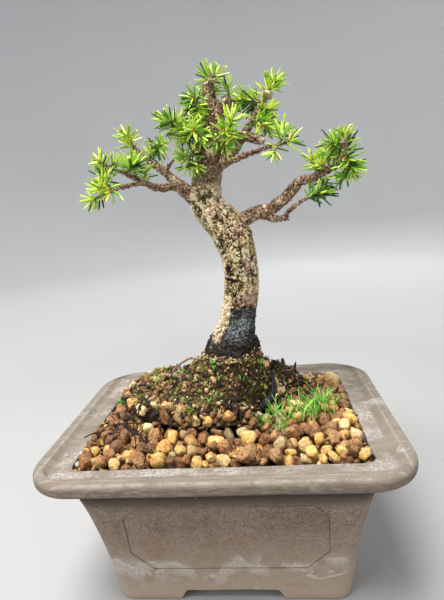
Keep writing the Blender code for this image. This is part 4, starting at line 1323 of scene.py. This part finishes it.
GROUND_LEVEL = 119.6
TRUNK_PATH = [
    (5.0, 10.0, 119.6), (10.5, 10.0, 140.0), (14.1, 7.0, 166.6), (9.7, 7.0, 188.3), (-1.6, 9.0, 204.0),
    (0.4, 12.0, 224.5), (5.5, 15.0, 247.5), (4.0, 15.5, 256.0), (3.0, 16.0, 262.5), (5.3, 16.0, 268.5),
]
BOUGHS = {
    # path, radius at the base and at the tip
    "left_bough": ([(-2.5, 9.5, 203.0), (-11.5, 12.8, 210.6), (-18.2, 15.0, 216.2)], 5.4, 3.2),
    "left_bough_upper": ([(-16.5, 14.2, 215.0), (-26.2, 20.0, 224.2), (-36.0, 26.0, 231.5),
                          (-45.0, 29.7, 240.8)], 2.8, 1.3),
    "left_bough_lower": ([(-15.8, 14.4, 215.4), (-26.8, 10.0, 214.6), (-35.1, 5.0, 218.3)], 2.6, 1.8),
    "left_twig_upper": ([(-33.4, 5.6, 217.6), (-45.0, 4.0, 224.3), (-55.6, 4.0, 228.6)], 1.7, 1.1),
    "left_twig_lower": ([(-33.6, 5.4, 217.9), (-44.3, 0.0, 216.3), (-53.9, -5.0, 212.9)], 1.6, 1.0),
    "right_bough": ([(11.0, 6.5, 191.0), (23.2, 4.0, 196.9), (31.7, 1.0, 198.8), (40.0, -2.0, 204.2),
                     (46.2, -4.0, 210.6)], 4.2, 2.7),
    "right_bough_tip": ([(45.2, -3.7, 209.4), (47.5, -4.2, 211.2), (55.1, -5.0, 212.7),
                         (64.5, -6.2, 217.2)], 2.6, 1.7),
    "right_spur": ([(25.3, 3.0, 197.0), (32.9, 0.0, 193.9), (40.0, -2.0, 193.9)], 2.1, 1.6),
    "right_back_twig": ([(54.0, -4.6, 212.4), (59.5, 2.0, 218.5), (64.0, 8.4, 223.6)], 1.5, 1.0),
    "right_twig": ([(39.2, -1.8, 193.9), (42.1, -4.0, 198.1), (50.5, -5.8, 203.0)], 1.5, 0.9),
    "crown_bough_right": ([(3.0, 11.4, 220.0), (14.7, 13.0, 231.0), (23.4, 16.0, 242.9),
                           (32.2, 20.0, 255.3), (35.3, 20.0, 261.0)], 3.1, 1.4),
    "crown_bough_low": ([(4.0, 11.0, 221.5), (16.3, 4.0, 225.7), (29.4, -2.0, 228.6),
                         (40.4, -5.8, 229.9)], 2.1, 1.0),
    "crown_bough_front": ([(2.5, 10.0, 223.5), (8.8, 0.0, 231.7), (14.6, -6.4, 241.0)], 2.3, 1.1),
    "crown_bough_left": ([(1.8, 11.0, 227.4), (-3.6, 4.0, 236.2), (-8.9, -1.0, 242.4),
                          (-13.5, -3.8, 245.4)], 2.3, 1.1),
    "crown_stub": ([(0.6, 11.0, 223.5), (-1.8, 3.0, 228.6), (-4.2, -1.4, 231.5)], 2.8, 2.1),
    "crown_bough_back": ([(1.5, 13.0, 225.0), (-2.4, 30.0, 238.2), (-4.6, 40.0, 250.0)], 2.6, 1.4),
    "crown_bough_back_low": ([(2.0, 13.0, 221.0), (6.7, 32.0, 231.5), (9.2, 41.5, 238.6)], 2.4, 1.4),
}
# Short stubs of wood that the CAD leaves out
SPURS = {
    "crown_spur": ([(15.5, 12.5, 237.0), (21.0, 10.5, 237.2), (29.0, 7.0, 233.9)], 2.9, 2.2),
    "left_peg": ([(-24.5, 18.5, 222.4), (-21.6, 15.0, 226.4), (-18.0, 13.0, 229.4)], 1.3, 1.0),
    "right_knob": ([(66.5, -6.6, 218.5), (68.3, -7.5, 223.5), (69.0, -7.8, 227.5)], 2.0, 1.7),
    "leader_right": ([(3.5, 13.5, 241.0), (8.4, 11.5, 249.6), (14.0, 9.6, 255.4)], 4.2, 3.0),
}
TRUNK_BASE_RADIUS, TRUNK_FORK_RADIUS, TRUNK_TIP_RADIUS = 10.2, 8.3, 1.4
TRUNK_FORK_SHARE, LEADER_TAPER = 0.58, 0.65
ROOT_FLARE, ROOT_FLARE_HEIGHT = 4.6, 11.0
COLLAR, COLLAR_LEVEL, COLLAR_SPREAD = 1.5, 188.0, 11.0
BARK_VOXEL = 0.455
BATCH = 3000
# The bark's relief and pegs make up this much of each bough's radius
BOUGH_SLIMMING = 0.5
# Marks on the trunk: place, reach and height, where a negative height is a hollow
BURRS = [
    ((8.0, 0.4, 168.6), 1.5, -2.6), ((8.0, 0.4, 168.9), 3.4, 1.0), ((7.8, 0.6, 168.6), 0.9, -2.0),
    ((4.3, -1.5, 198.4), 1.9, 1.5),
    ((21.0, 3.0, 187.7), 2.2, 1.6), ((17.5, -1.0, 184.0), 4.5, 1.1), ((8.3, 6.0, 206.5), 2.0, 1.6),
    ((6.0, 0.0, 150.0), 5.0, 0.8), ((-2.0, 2.0, 209.0), 3.0, 0.9), ((12.0, 17.0, 172.0), 3.5, 1.2),
    ((2.0, 1.0, 190.5), 1.3, 0.8), ((14.5, 0.0, 175.0), 2.6, 0.7), ((-4.5, 3.0, 200.0), 1.4, -1.2),
    ((0.5, 3.0, 183.5), 1.2, -1.1),
]
# A fold across the trunk: place, half width, half height and rise
CREASE = ((8.5, -1.5, 162.9), 4.5, 0.8, -1.4)


def trunk_radius(share, z):
    if share < TRUNK_FORK_SHARE:
        radius = TRUNK_BASE_RADIUS + (TRUNK_FORK_RADIUS - TRUNK_BASE_RADIUS) * share / TRUNK_FORK_SHARE
    else:
        taper = (share - TRUNK_FORK_SHARE) / (1 - TRUNK_FORK_SHARE)
        radius = TRUNK_TIP_RADIUS + (TRUNK_FORK_RADIUS - TRUNK_TIP_RADIUS) * (1 - taper) ** LEADER_TAPER
    flare = ROOT_FLARE * math.exp(-(((z - GROUND_LEVEL) / ROOT_FLARE_HEIGHT) ** 2))
    collar = COLLAR * math.exp(-(((z - COLLAR_LEVEL) / COLLAR_SPREAD) ** 2))
    return radius + flare + collar


class Limb:
    """The axis of the trunk or a bough, in fine steps."""

    def __init__(self, name, points, base, tip):
        self.name = name
        self.path = smooth_path(points, 0.7)
        if base is None:
            self.path[0, 2] -= 2.0
        steps = np.linalg.norm(np.diff(self.path, axis=0), axis=1)
        self.along = np.concatenate([[0.0], np.cumsum(steps)])
        share = self.along / self.along[-1]
        if base is None:
            self.radius = np.array([trunk_radius(s, p[2]) for s, p in zip(share, self.path)])
        else:
            self.radius = base + (tip - base) * share - BOUGH_SLIMMING
        self.tangent, self.across, self.over = frames_along(self.path)


LIMBS = [Limb("trunk", TRUNK_PATH, None, None)]
LIMBS += [Limb(name, points, base, tip) for name, (points, base, tip) in (BOUGHS | SPURS).items()]


def straightened(verts):
    """For each vertex: its limb, and its place beside and along that limb's axis."""
    axis, radius, along, tangent, across, over = (
        np.concatenate([getattr(limb, name) for limb in LIMBS])
        for name in ("path", "radius", "along", "tangent", "across", "over")
    )
    owner = np.repeat(np.arange(len(LIMBS)), [len(limb.path) for limb in LIMBS])
    nearest = np.zeros(len(verts), int)
    for start in range(0, len(verts), BATCH):
        part = verts[start : start + BATCH]
        squares = (part**2).sum(1)[:, None] + (axis**2).sum(1)[None] - 2 * part @ axis.T
        gap = np.sqrt(np.maximum(squares, 0))
        nearest[start : start + BATCH] = np.argmin(gap - radius[None], axis=1)
    offset = verts - axis[nearest]
    beside, above, forward = ((offset * way[nearest]).sum(1) for way in (across, over, tangent))
    place = np.stack([beside, above, along[nearest] + forward], 1)
    return owner[nearest], place, radius[nearest], offset


def bark_relief(verts):
    """The bark's height over each vertex, in millimetres, and its masks."""
    owner, place, radius, offset = straightened(verts)
    z = verts[:, 2]
    angle = np.degrees(np.arctan2(offset[:, 0], -offset[:, 1]))
    waver = fractal(verts / 4.0, 2, 90)
    on_trunk = owner == 0
    # The leader above the fork has the boughs' bark
    young = np.where(on_trunk, 0.85 * soft_step(z, 212.0, 238.0), 1.0)

    size = 1.3 + 0.1 * young
    stretch = 0.66 + 0.1 * young
    one = np.ones(len(z))
    p = place / size[:, None] * np.stack([one, one, stretch], 1) + owner[:, None] * 31.7
    p = p + 0.75 * np.stack([fractal(p * 0.8, 2, seed) for seed in (5, 6, 7)], 1)
    near, beyond, tone = flakes(p, 11)
    flat = soft_step(beyond - near, 0.03, 0.34)
    gate = 0.2 + 0.8 * soft_step(fractal(p * 0.45, 2, 21), -0.3, 0.3)
    ridge = 1 - 2.4 * np.abs(fractal(p * 1.5, 3, 31, 0.6))
    fine = fractal(p * 3.1, 3, 41, 0.7)
    broad = fractal(verts / 5.0, 2, 77)
    old = 0.6 * (tone - 0.45) * flat - 0.5 * gate * (1 - flat) + 0.3 * ridge + 0.7 * fine + 0.55 * broad
    swell = fractal(verts / 3.2, 2, 71) + 0.6 * fractal(verts / 1.3, 2, 73)
    fresh = 0.35 * (tone - 0.45) * flat - 0.4 * gate * (1 - flat) + 0.34 * ridge + 0.5 * fine + 0.55 * swell
    height = old * (1 - young) + fresh * young * np.clip(radius / 3.5, 0.45, 1.0)
    # Long cracks that follow the grain of the old bark
    split = np.abs(fractal(place / np.array([2.3, 2.3, 6.0]) + owner[:, None] * 17.3, 3, 83))
    split = (1 - soft_step(split, 0.02, 0.13)) * gate * (1 - young)
    height = height - 0.4 * split
    crack_and_shade = np.maximum(gate * (1 - flat) * 0.85, split * 0.66)
    # At the fork the bark is darker, partly its own colour and partly painted shade under the crown, given
    # through the crack mask
    neck = soft_step(z, 211.0, 215.0) * (1 - soft_step(z, 220.0, 226.0)) * on_trunk
    crack_and_shade = np.maximum(crack_and_shade, neck * (0.75 + 0.5 * waver))

    edge = angle + waver * 10
    tar = soft_step(edge, -31.0, -27.0) * (1 - soft_step(edge, 118.0, 123.0)) * on_trunk
    tar *= 1 - soft_step(z + waver * 2.4 + 0.05 * np.abs(angle - 20), 148.6, 149.8)
    shift = np.stack([clouds(place / 2.0, seed) for seed in (8, 9, 10)], 1)
    q = place / np.array([3.0, 3.0, 1.25]) + 0.35 * shift
    near, beyond, tone = flakes(q, 51)
    block = soft_step(beyond - near, 0.02, 0.28)
    # The paste bulges towards its middle, and as its colour follows its height this also paints a highlight
    # there
    heart = np.exp(-(((angle - 20.0) / 34.0) ** 2) - ((z - 137.0) / 8.0) ** 2)
    paste = -0.15 + 0.75 * heart + 0.4 * (tone - 0.4) * block - 0.35 * gate * (1 - block)
    paste = paste + 0.55 * fractal(q * 2.2, 3, 61, 0.75)
    height = height * (1 - tar) + paste * tar
    low = 127.0 + 6.0 * soft_step(-angle, 55.0, 85.0) * (1 - soft_step(-angle, 100.0, 150.0))
    low = low - 5.0 * soft_step(angle, 130.0, 170.0)
    wet = (1 - soft_step(z + waver * 4.5, low - 2.5, low + 2.5)) * on_trunk
    pale = soft_step(angle, -62, -54) * (1 - soft_step(angle, -42, -34)) * soft_step(z, 127, 131)
    pale = pale * (1 - soft_step(z, 139, 147)) * soft_step(waver, -0.5, 0.1) * on_trunk * 0.5

    level = height.copy()
    for centre, reach, rise in BURRS:
        bump = np.exp(-((np.linalg.norm(verts - np.array(centre), axis=1) / reach) ** 2))
        height = height + rise * bump
        # A hollow also darkens the colour, through its height and the crack mask: painted shade in it
        if rise < 0:
            level = level + rise * bump
            crack_and_shade = np.maximum(crack_and_shade, bump * 1.5)
    centre, wide, tall, rise = CREASE
    away = verts - np.array(centre)
    fold = np.exp(-((away[:, 0] / wide) ** 2) - ((away[:, 2] + 0.12 * away[:, 0]) / tall) ** 2)
    fold = fold * (away[:, 1] < 8)
    height = height + rise * fold
    # The fold also darkens the colour, through its height and the crack mask: painted shade in the crease
    level = level + rise * fold
    crack_and_shade = np.maximum(crack_and_shade, fold * 1.1)
    rise = np.clip(0.5 + level / 1.7, 0, 1)
    wet = wet * (1 - tar * 0.6)
    return height, {"rise": rise, "crack_and_shade": crack_and_shade, "tar": tar, "wet": wet, "young": young, "pale": pale}


def make_bark():
    heap = Heap()
    for limb in LIMBS:
        step = 2 if limb.radius.max() > 3 else 1
        heap.add(*tube(limb.path[::step], limb.radius[::step], 22))
    mesh = applied(
        heap.mesh("bark"),
        ("REMESH", {"mode": "VOXEL", "voxel_size": BARK_VOXEL * MM}),
        ("SMOOTH", {"factor": 0.5, "iterations": 4}),
    )
    verts, normals = points_and_normals(mesh)
    height, masks = bark_relief(verts)
    fade = soft_step(verts[:, 2], GROUND_LEVEL - 1.5, GROUND_LEVEL)
    put_points(mesh, verts + normals * (height * fade + 0.1)[:, None])
    for name, values in masks.items():
        mesh.attributes.new(name, "FLOAT", "POINT").data.foreach_set("value", values.astype(np.float32))
    mesh.shade_smooth()
    piece("bark_skin", mesh, bark_material(), "bark", "trunk", *BOUGHS)
    make_pegs()


PEG = np.array([
    (0, 0.5, -0.4), (0, -0.5, -0.4), (0, 0.35, 0.8), (0, -0.35, 0.8), (0.85, 0.36, 0.9), (0.85, -0.36, 0.9),
    (1.0, 0, 1.5),
])
PEG_TRIS = np.array([(0, 1, 5), (0, 5, 4), (2, 0, 4), (1, 3, 5), (4, 5, 6), (2, 4, 6), (3, 6, 5), (2, 6, 3)])


LEADER_START = 209


def pegs_along(heap, path, radii, rng, per_mm2, size):
    """The small woody pegs that a spruce's fallen needles leave, leaning towards the tip."""
    tangent, across, over = frames_along(path)
    steps = np.linalg.norm(np.diff(path, axis=0), axis=1)
    for k, step in enumerate(steps):
        count = rng.poisson(step * 2 * math.pi * radii[k] * per_mm2)
        for turn, share in zip(rng.uniform(0, 2 * math.pi, count), rng.random(count)):
            out = across[k] * math.cos(turn) + over[k] * math.sin(turn)
            side = np.cross(tangent[k], out)
            root = path[k] + (path[k + 1] - path[k]) * share + out * radii[k] * 0.97
            axes = np.stack([out, side, tangent[k]])
            heap.add((PEG * size * rng.uniform(0.6, 1.3)) @ axes + root, PEG_TRIS)


def make_pegs():
    rng = np.random.default_rng(31)
    heap = Heap()
    for limb in LIMBS:
        if limb.name == "trunk":
            keep = limb.path[:, 2] > LEADER_START
            pegs_along(heap, limb.path[keep], limb.radius[keep], rng, 0.5, 0.85)
        else:
            pegs_along(heap, limb.path, limb.radius, rng, 0.8, 0.74)
    piece("needle_pegs", heap.mesh("needle_pegs", smooth=False), twig_material(), "twig_bark")


# Shoots and needles

NEEDLE_WIDTH = 1.07
NEEDLE_COLOURS = [
    ("needle_shade", (28, 48, 14)),
    ("needle_deep", (56, 102, 24)),
    ("needle_green", (115, 165, 43)),
    ("needle_leaf", (163, 198, 58)),
    ("needle_fresh", (200, 221, 82)),
    ("needle_lime", (216, 230, 100)),
    ("needle_waxy", (150, 188, 106)),
    ("needle_yellow", (230, 204, 80)),
    ("needle_orange", (204, 134, 56)),
    ("needle_brown", (130, 86, 56)),
]
# The colours of a needle's foot, outer half and tip, for each main colour; the darker foot is painted shade
# near the twig
NEEDLE_FOOT = (0, 0, 0, 1, 2, 3, 1, 3, 9, 9)
NEEDLE_OUTER = (0, 1, 2, 3, 4, 4, 6, 7, 7, 9)
NEEDLE_TIP = (1, 2, 3, 4, 5, 5, 4, 7, 7, 9)
YELLOW, ORANGE = 7, 8
# How often each colour is dealt to a spray's needles
PALETTES = {
    "lime": (0, 0, 6, 24, 42, 18, 4, 4, 1, 0),
    "bright": (0, 3, 16, 38, 32, 4, 6, 1, 0, 0),
    "mid": (2, 10, 30, 36, 14, 1, 6, 1, 0, 0),
    "dark": (8, 30, 36, 18, 4, 0, 4, 0, 0, 0),
    "olive": (4, 20, 30, 28, 11, 2, 2, 2, 0, 1),
    "open": (0, 1, 14, 30, 26, 6, 21, 2, 0, 0),
    "hang": (0, 2, 14, 36, 32, 8, 5, 2, 1, 0),
}
# The shoots placed in each mass: tip, needles' length and number, and palette
SHOOTS = {
    "left_tip_upper": [
        ((-56.0, 3.0, 231.0), 7.0, 13, "bright"),
    ],
    "left_tip_middle": [
        ((-52.5, -4.0, 220.5), 7.0, 14, "bright"),
    ],
    "left_tip_lower": [
        ((-54.5, -6.0, 216.3), 8.0, 13, "bright"), ((-59.6, -5.5, 211.2), 8.5, 11, "hang"),
        ((-50.0, -6.0, 214.5), 8.0, 10, "hang"),
    ],
    "left_top": [
        ((-46.9, 29.5, 241.8), 7.0, 14, "lime"),
    ],
    "left_inner": [
        ((-32.5, 25.0, 236.5), 7.0, 14, "olive"), ((-27.0, 26.0, 239.6), 7.0, 13, "olive"),
    ],
    "left_middle": [
        ((-39.5, 3.0, 227.5), 9.0, 22, "mid"), ((-48.5, 5.0, 229.8), 6.8, 9, "bright"),
        ((-33.2, 7.5, 223.6), 7.0, 12, "mid"),
    ],
    "apex": [
        ((6.9, 14.3, 269.0), 9.2, 13, "open"), ((13.1, 13.5, 262.4), 7.5, 11, "mid"),
        ((4.5, 21.0, 263.3), 6.4, 7, "mid"),
    ],
    "crown_upper_left": [
        ((-4.4, 9.0, 258.5), 8.0, 16, "mid"), ((-2.7, 8.5, 250.8), 8.0, 16, "mid"),
    ],
    "crown_left": [
        ((-18.6, -0.5, 246.6), 7.2, 19, "bright"), ((-13.0, 2.0, 246.6), 7.0, 13, "bright"),
        ((-3.6, -7.0, 239.8), 8.0, 18, "bright"), ((-9.8, -5.0, 241.7), 8.0, 16, "bright"),
        ((-8.1, -3.0, 236.1), 8.5, 18, "mid"),
    ],
    "crown_front_low": [
        ((0.4, -6.5, 236.0), 7.5, 12, "bright"), ((7.4, -8.0, 234.0), 7.5, 11, "mid"),
        ((15.3, -9.0, 235.0), 7.5, 12, "mid"), ((11.4, -8.0, 230.6), 7.5, 13, "mid"),
    ],
    "crown_front": [
        ((15.5, -9.8, 242.6), 8.5, 18, "lime"), ((11.5, -8.5, 238.0), 7.5, 10, "bright"),
    ],
    "crown_low_left": [
        ((-7.9, -4.0, 223.2), 8.0, 22, "mid"), ((-4.0, -4.0, 222.6), 6.5, 7, "mid"),
        ((-10.6, -1.0, 229.5), 7.0, 14, "mid"),
    ],
    "right_upper_tip": [
        ((35.0, 19.5, 261.2), 8.0, 15, "lime"),
    ],
    "crown_back_right": [
        ((22.6, 27.0, 259.2), 9.0, 22, "dark"), ((18.2, 25.0, 257.7), 8.0, 16, "mid"),
    ],
    "right_upper": [
        ((35.0, 17.0, 250.0), 8.0, 16, "bright"), ((30.3, 13.0, 242.7), 9.0, 16, "bright"),
    ],
    "right_low_tip": [
        ((39.8, 1.0, 235.0), 7.2, 11, "mid"), ((41.0, 9.0, 238.2), 8.0, 8, "mid"),
        ((43.2, -5.0, 230.7), 9.0, 7, "mid"), ((34.9, -4.0, 225.6), 6.5, 8, "mid"),
    ],
    "right_tip": [
        ((69.4, -7.0, 231.2), 7.4, 17, "bright"), ((63.2, -8.0, 227.6), 8.0, 16, "mid"),
    ],
    "right_inner": [
        ((53.6, -4.0, 221.6), 7.5, 18, "bright"), ((57.8, -7.0, 218.4), 7.0, 14, "bright"),
    ],
    "right_outer": [
        ((70.3, -9.5, 218.9), 8.0, 18, "mid"), ((71.6, -8.5, 213.3), 8.0, 14, "mid"),
        ((66.7, -7.0, 211.0), 7.0, 13, "dark"),
    ],
    "right_under": [
        ((54.0, -6.0, 204.6), 8.0, 18, "dark"), ((59.9, -3.0, 207.5), 7.5, 14, "dark"),
    ],
}
# Shoots that the branching rule adds to each mass, and their palette
MORE_SHOOTS = {
    "left_tip_middle": (1, "dark"), "left_middle": (1, "dark"), "left_top": (1, "bright"),
    "left_inner": (1, "olive"), "apex": (1, "mid"), "crown_upper_left": (1, "dark"),
    "crown_left": (2, "dark"), "crown_back_right": (2, "dark"), "crown_back": (11, "mid"),
    "crown_back_low": (10, "mid"), "right_upper_tip": (1, "mid"), "right_upper": (2, "mid"),
    "right_tip": (1, "dark"), "right_outer": (1, "dark"), "right_under": (1, "dark"),
    "right_back": (6, "mid"),
}


def needle_template():
    """A spruce needle along +X from 0 to 1: four-angled, with a short blunt point."""
    stations = np.array([0.0, 0.09, 0.42, 0.78, 0.95, 1.0])
    widths = np.array([0.5, 0.9, 1.0, 0.95, 0.72, 0.25]) / 2
    verts, tris, part, side_of = [], [], [], []
    for t, half in zip(stations, widths):
        for side, high in ((1, 0), (0, 0.82), (-1, 0), (0, -0.82)):
            verts.append((t, side * half, high * half))
    for ring in range(len(stations) - 1):
        for side in range(4):
            a, b = ring * 4 + side, ring * 4 + (side + 1) % 4
            tris += [(a, a + 4, b + 4), (a, b + 4, b)]
            part += [ring, ring]
            side_of += [side, side]
    last = 4 * (len(stations) - 1)
    tris += [(0, 1, 2), (0, 2, 3), (last, last + 2, last + 1), (last, last + 3, last + 2)]
    part += [0, 0, 4, 4]
    side_of += [0, 0, 0, 0]
    return np.array(verts), np.array(tris), np.array(part), np.array(side_of)


NEEDLE, NEEDLE_TRIS, NEEDLE_PART, NEEDLE_SIDE = needle_template()


def add_needle(heap, rng, root, way, inward, length, width, curve, colour):
    """One needle that leaves its root in a direction and curves towards another."""
    way = unit(way)
    up = unit(inward - way * np.dot(inward, way))
    side = np.cross(up, way)
    x, y, z = NEEDLE.T
    rise = curve * length * x * x
    places = ((x * length, way), (y * width, side), (z * width + rise, up))
    verts = root
    for share, axis in places:
        verts = verts + share[:, None] * axis
    tip = NEEDLE_TIP[colour]
    chance = rng.random()
    if chance < 0.03:
        tip = YELLOW
    elif chance < 0.07:
        tip = ORANGE
    slots = np.array([NEEDLE_FOOT[colour], colour, colour, NEEDLE_OUTER[colour], tip])[NEEDLE_PART]
    if rng.random() < 0.6:
        lit = (NEEDLE_SIDE == rng.integers(4)) & (NEEDLE_PART > 0)
        slots[lit] = NEEDLE_TIP[colour]
    heap.add(verts, NEEDLE_TRIS, slots)


SHORTEST_TWIG = 4.5
TUFT, TUFT_LEAN = 6, (28, 72)
# Needles lean this many degrees from the twig at its foot, and less towards its tip
FOOT_LEAN, LEAN_LOSS, LEAN_SPREAD = 82, 40, 8
FILL_LENGTH, FILL_COUNT, FILL_TRIALS = 8.2, 20, 24


class Growth:
    """Twigs, needles and buds, grown shoot by shoot from the limbs."""

    def __init__(self):
        self.rng = np.random.default_rng(2024)
        self.needles = {"left": Heap(), "crown": Heap(), "right": Heap()}
        self.twigs, self.buds = Heap(), Heap()
        self.skeleton = [p for limb in LIMBS for p in limb.path[len(limb.path) // 3 :]]
        self.tips = []
        self.bud_shapes = lumps(ball(2)[0], self.rng, 6, pitted=0.05)

    def start_for(self, tip):
        """The nearest place on the growth so far that leaves room for a shoot."""
        bones = np.array(self.skeleton)
        gap = np.linalg.norm(bones - tip, axis=1)
        gap = np.where(gap < SHORTEST_TWIG, 50 - gap, gap)
        return bones[np.argmin(gap)]

    def deal(self, palette):
        weights = np.array(PALETTES[palette], float)
        return int(self.rng.choice(len(weights), p=weights / weights.sum()))

    def shoot(self, mass, tip, length, count, palette, bud=True):
        """A twig to a tip, needles that spiral along it, a tuft at its end, and a bud."""
        rng = self.rng
        tip = np.array(tip, float)
        start = self.start_for(tip)
        long = float(np.linalg.norm(tip - start))
        middle = (start + tip) / 2 + rng.normal(0, 0.06 * long, 3) - UP * 0.05 * long
        path = smooth_path([start, middle, tip], 0.6)
        thick = np.linspace(min(0.6 + long * 0.02, 0.95), 0.5, len(path))
        self.twigs.add(*tube(path, thick, 7, 0.16, rng))
        pegs_along(self.twigs, path, thick, rng, 0.8, 0.42)
        self.skeleton += list(path[len(path) // 2 :: 3])
        self.tips.append(tip)
        tangent, across, over = frames_along(path)
        heap = self.needles["crown" if mass == "apex" else mass.split("_")[0]]
        leafy = min(long * 0.9, 3.0 + count * 0.4)
        first = max(0.0, 1 - leafy / long)
        turn = rng.uniform(0, 6.28)
        for i in range(count):
            share = (i + 0.5) / count
            at = (first + (1 - first) * share**0.8) * (len(path) - 1)
            k = min(int(at), len(path) - 2)
            root = path[k] + (path[k + 1] - path[k]) * (at - k)
            turn += GOLDEN_ANGLE + rng.normal(0, 0.15)
            side = across[k] * math.cos(turn) + over[k] * math.sin(turn)
            lean = math.radians(FOOT_LEAN - LEAN_LOSS * share**1.8 + rng.normal(0, LEAN_SPREAD))
            way = tangent[k] * math.cos(lean) + side * math.sin(lean)
            if palette == "hang":
                way = unit(way) - UP * 0.75
            else:
                # Needles under a twig sweep sideways towards the light
                way = unit(way) + UP * (0.06 if way[2] > -0.3 else 0.26)
            size = length * rng.uniform(0.82, 1.18)
            width = NEEDLE_WIDTH * rng.uniform(0.88, 1.12)
            colour = self.deal(palette)
            if way[2] < -0.15 and 1 <= colour <= 5:
                # The needles below a twig are in its shade, and darker
                colour -= 1
            curve = rng.uniform(0.0, 0.12)
            add_needle(heap, rng, root, way, tangent[k] + UP * 0.25, size, width, curve, colour)
        end = tangent[-1]
        for _ in range(TUFT):
            turn += GOLDEN_ANGLE
            side = across[-1] * math.cos(turn) + over[-1] * math.sin(turn)
            lean = math.radians(rng.uniform(*TUFT_LEAN))
            way = end * math.cos(lean) + side * math.sin(lean) + UP * 0.1
            size = length * rng.uniform(0.7, 1.0)
            curve = rng.uniform(0, 0.1)
            add_needle(heap, rng, tip - end * 0.4, way, end, size, NEEDLE_WIDTH, curve, self.deal(palette))
        if bud:
            size = np.array([1.1, 1.1, 1.45]) * rng.uniform(0.85, 1.15)
            shape = self.bud_shapes[rng.integers(6)] * size
            axes = np.stack([across[-1], over[-1], end])
            self.buds.add(shape @ axes + tip + end * 0.7, ball(2)[1])

    def fill(self, mass, count, palette):
        """Adds shoots inside a mass by the branching rule: each tip keeps clear of the others."""
        low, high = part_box(mass + "_needles")
        low, high = np.array(low) / MM, np.array(high) / MM
        centre, half = (low + high) / 2, (high - low) / 2
        room = np.maximum(half - FILL_LENGTH * 0.72, 1.2)
        for _ in range(count):
            best, spot = -1.0, centre
            for _ in range(FILL_TRIALS):
                inside = unit(self.rng.normal(size=3)) * self.rng.random() ** (1 / 3)
                trial = centre + inside * room
                gap = min((np.linalg.norm(trial - tip) for tip in self.tips), default=99.0)
                if gap > best:
                    best, spot = gap, trial
            bud = self.rng.random() < 0.6
            self.shoot(mass, spot, FILL_LENGTH, FILL_COUNT, palette, bud)


KNOBS = [
    # place, size
    ((34.4, 18.5, 258.9), 2.1), ((36.4, 18.0, 257.4), 1.7), ((32.6, 18.5, 259.6), 1.5),
    ((37.6, 18.2, 255.8), 1.3),
    ((41.2, 9.1, 238.6), 1.3), ((70.4, -9.5, 231.4), 1.4), ((67.8, -8.8, 228.0), 1.6),
    ((7.0, 13.0, 266.5), 1.7), ((6.2, 12.6, 269.4), 1.3), ((-34.6, 5.4, 218.2), 1.6),
    ((-3.9, -2.2, 231.9), 2.1),
    ((29.6, 6.6, 233.7), 2.0),
]


def make_foliage():
    growth = Growth()
    for mass, shoots in SHOOTS.items():
        for shoot in shoots:
            growth.shoot(mass, *shoot)
    for mass, (count, palette) in MORE_SHOOTS.items():
        growth.fill(mass, count, palette)
    materials = [plain(name, rgb, 0.42, 0.35) for name, rgb in NEEDLE_COLOURS]
    masses = [name for name in NODES if name.endswith("_needles")]
    for side, heap in growth.needles.items():
        here = [name for name in masses if name.replace("apex", "crown").startswith(side)]
        mesh = heap.mesh("needles_" + side, smooth=False)
        piece("needles_" + side, mesh, materials, "needles", *here)
    piece("twigs", growth.twigs.mesh("twigs"), twig_material(), "twig_bark")
    piece("buds", growth.buds.mesh("buds"), bud_material(), "twig_bark")
    rng = np.random.default_rng(9)
    knobs = Heap()
    template, faces = ball(3)
    wood = np.concatenate([arrays(bpy.data.objects[name].data)[0] for name in ("bark_skin", "twigs")]) / MM
    for (place, size), shape in zip(KNOBS, lumps(template, rng, len(KNOBS), pitted=0.14)):
        # A knob sits on the wood nearest to its place
        away = np.linalg.norm(wood - place, axis=1)
        seat = wood[np.argmin(away)]
        place = seat + unit(place - seat) * min(away.min(), 0.6 * size)
        knobs.add(shape @ random_turns(rng, 1)[0].T * size + place, faces)
    piece("old_knobs", knobs.mesh("old_knobs"), old_wood_material(), "twig_bark")


def make_stage():
    """A pale floor that rises into a round backdrop."""
    profile = [(0.0, 0.0), (1.3, 0.0)]
    for turn in np.linspace(0, math.pi / 2, 12)[1:]:
        profile.append((1.3 + 0.9 * math.sin(turn), 0.9 * (1 - math.cos(turn))))
    profile.append((2.2, 2.4))
    bm = bmesh.new()
    previous = [bm.verts.new((0, 0, 0))]
    for radius, z in profile[1:]:
        turn = np.arange(64) * math.pi / 32
        ring = [bm.verts.new((radius * math.cos(a), radius * math.sin(a), z)) for a in turn]
        for i in range(64):
            j = (i + 1) % 64
            if len(previous) == 1:
                bm.faces.new((previous[0], ring[i], ring[j]))
            else:
                bm.faces.new((previous[i], ring[i], ring[j], previous[j]))
        previous = ring
    mesh = mesh_of(bm, "floor")
    mesh.shade_smooth()
    floor = bpy.data.objects.new("floor", mesh)
    bpy.context.scene.collection.objects.link(floor)
    mesh.materials.append(stage_material())


make_camera()
make_light()
make_stage()
make_pot()
soil_mesh = make_soil()
ground = Ground(soil_mesh)
make_bed()
make_gravel(ground)
make_grit(ground, soil_mesh)
make_roots(ground)
make_greens(ground)
make_tie_band()
make_bark()
make_foliage()
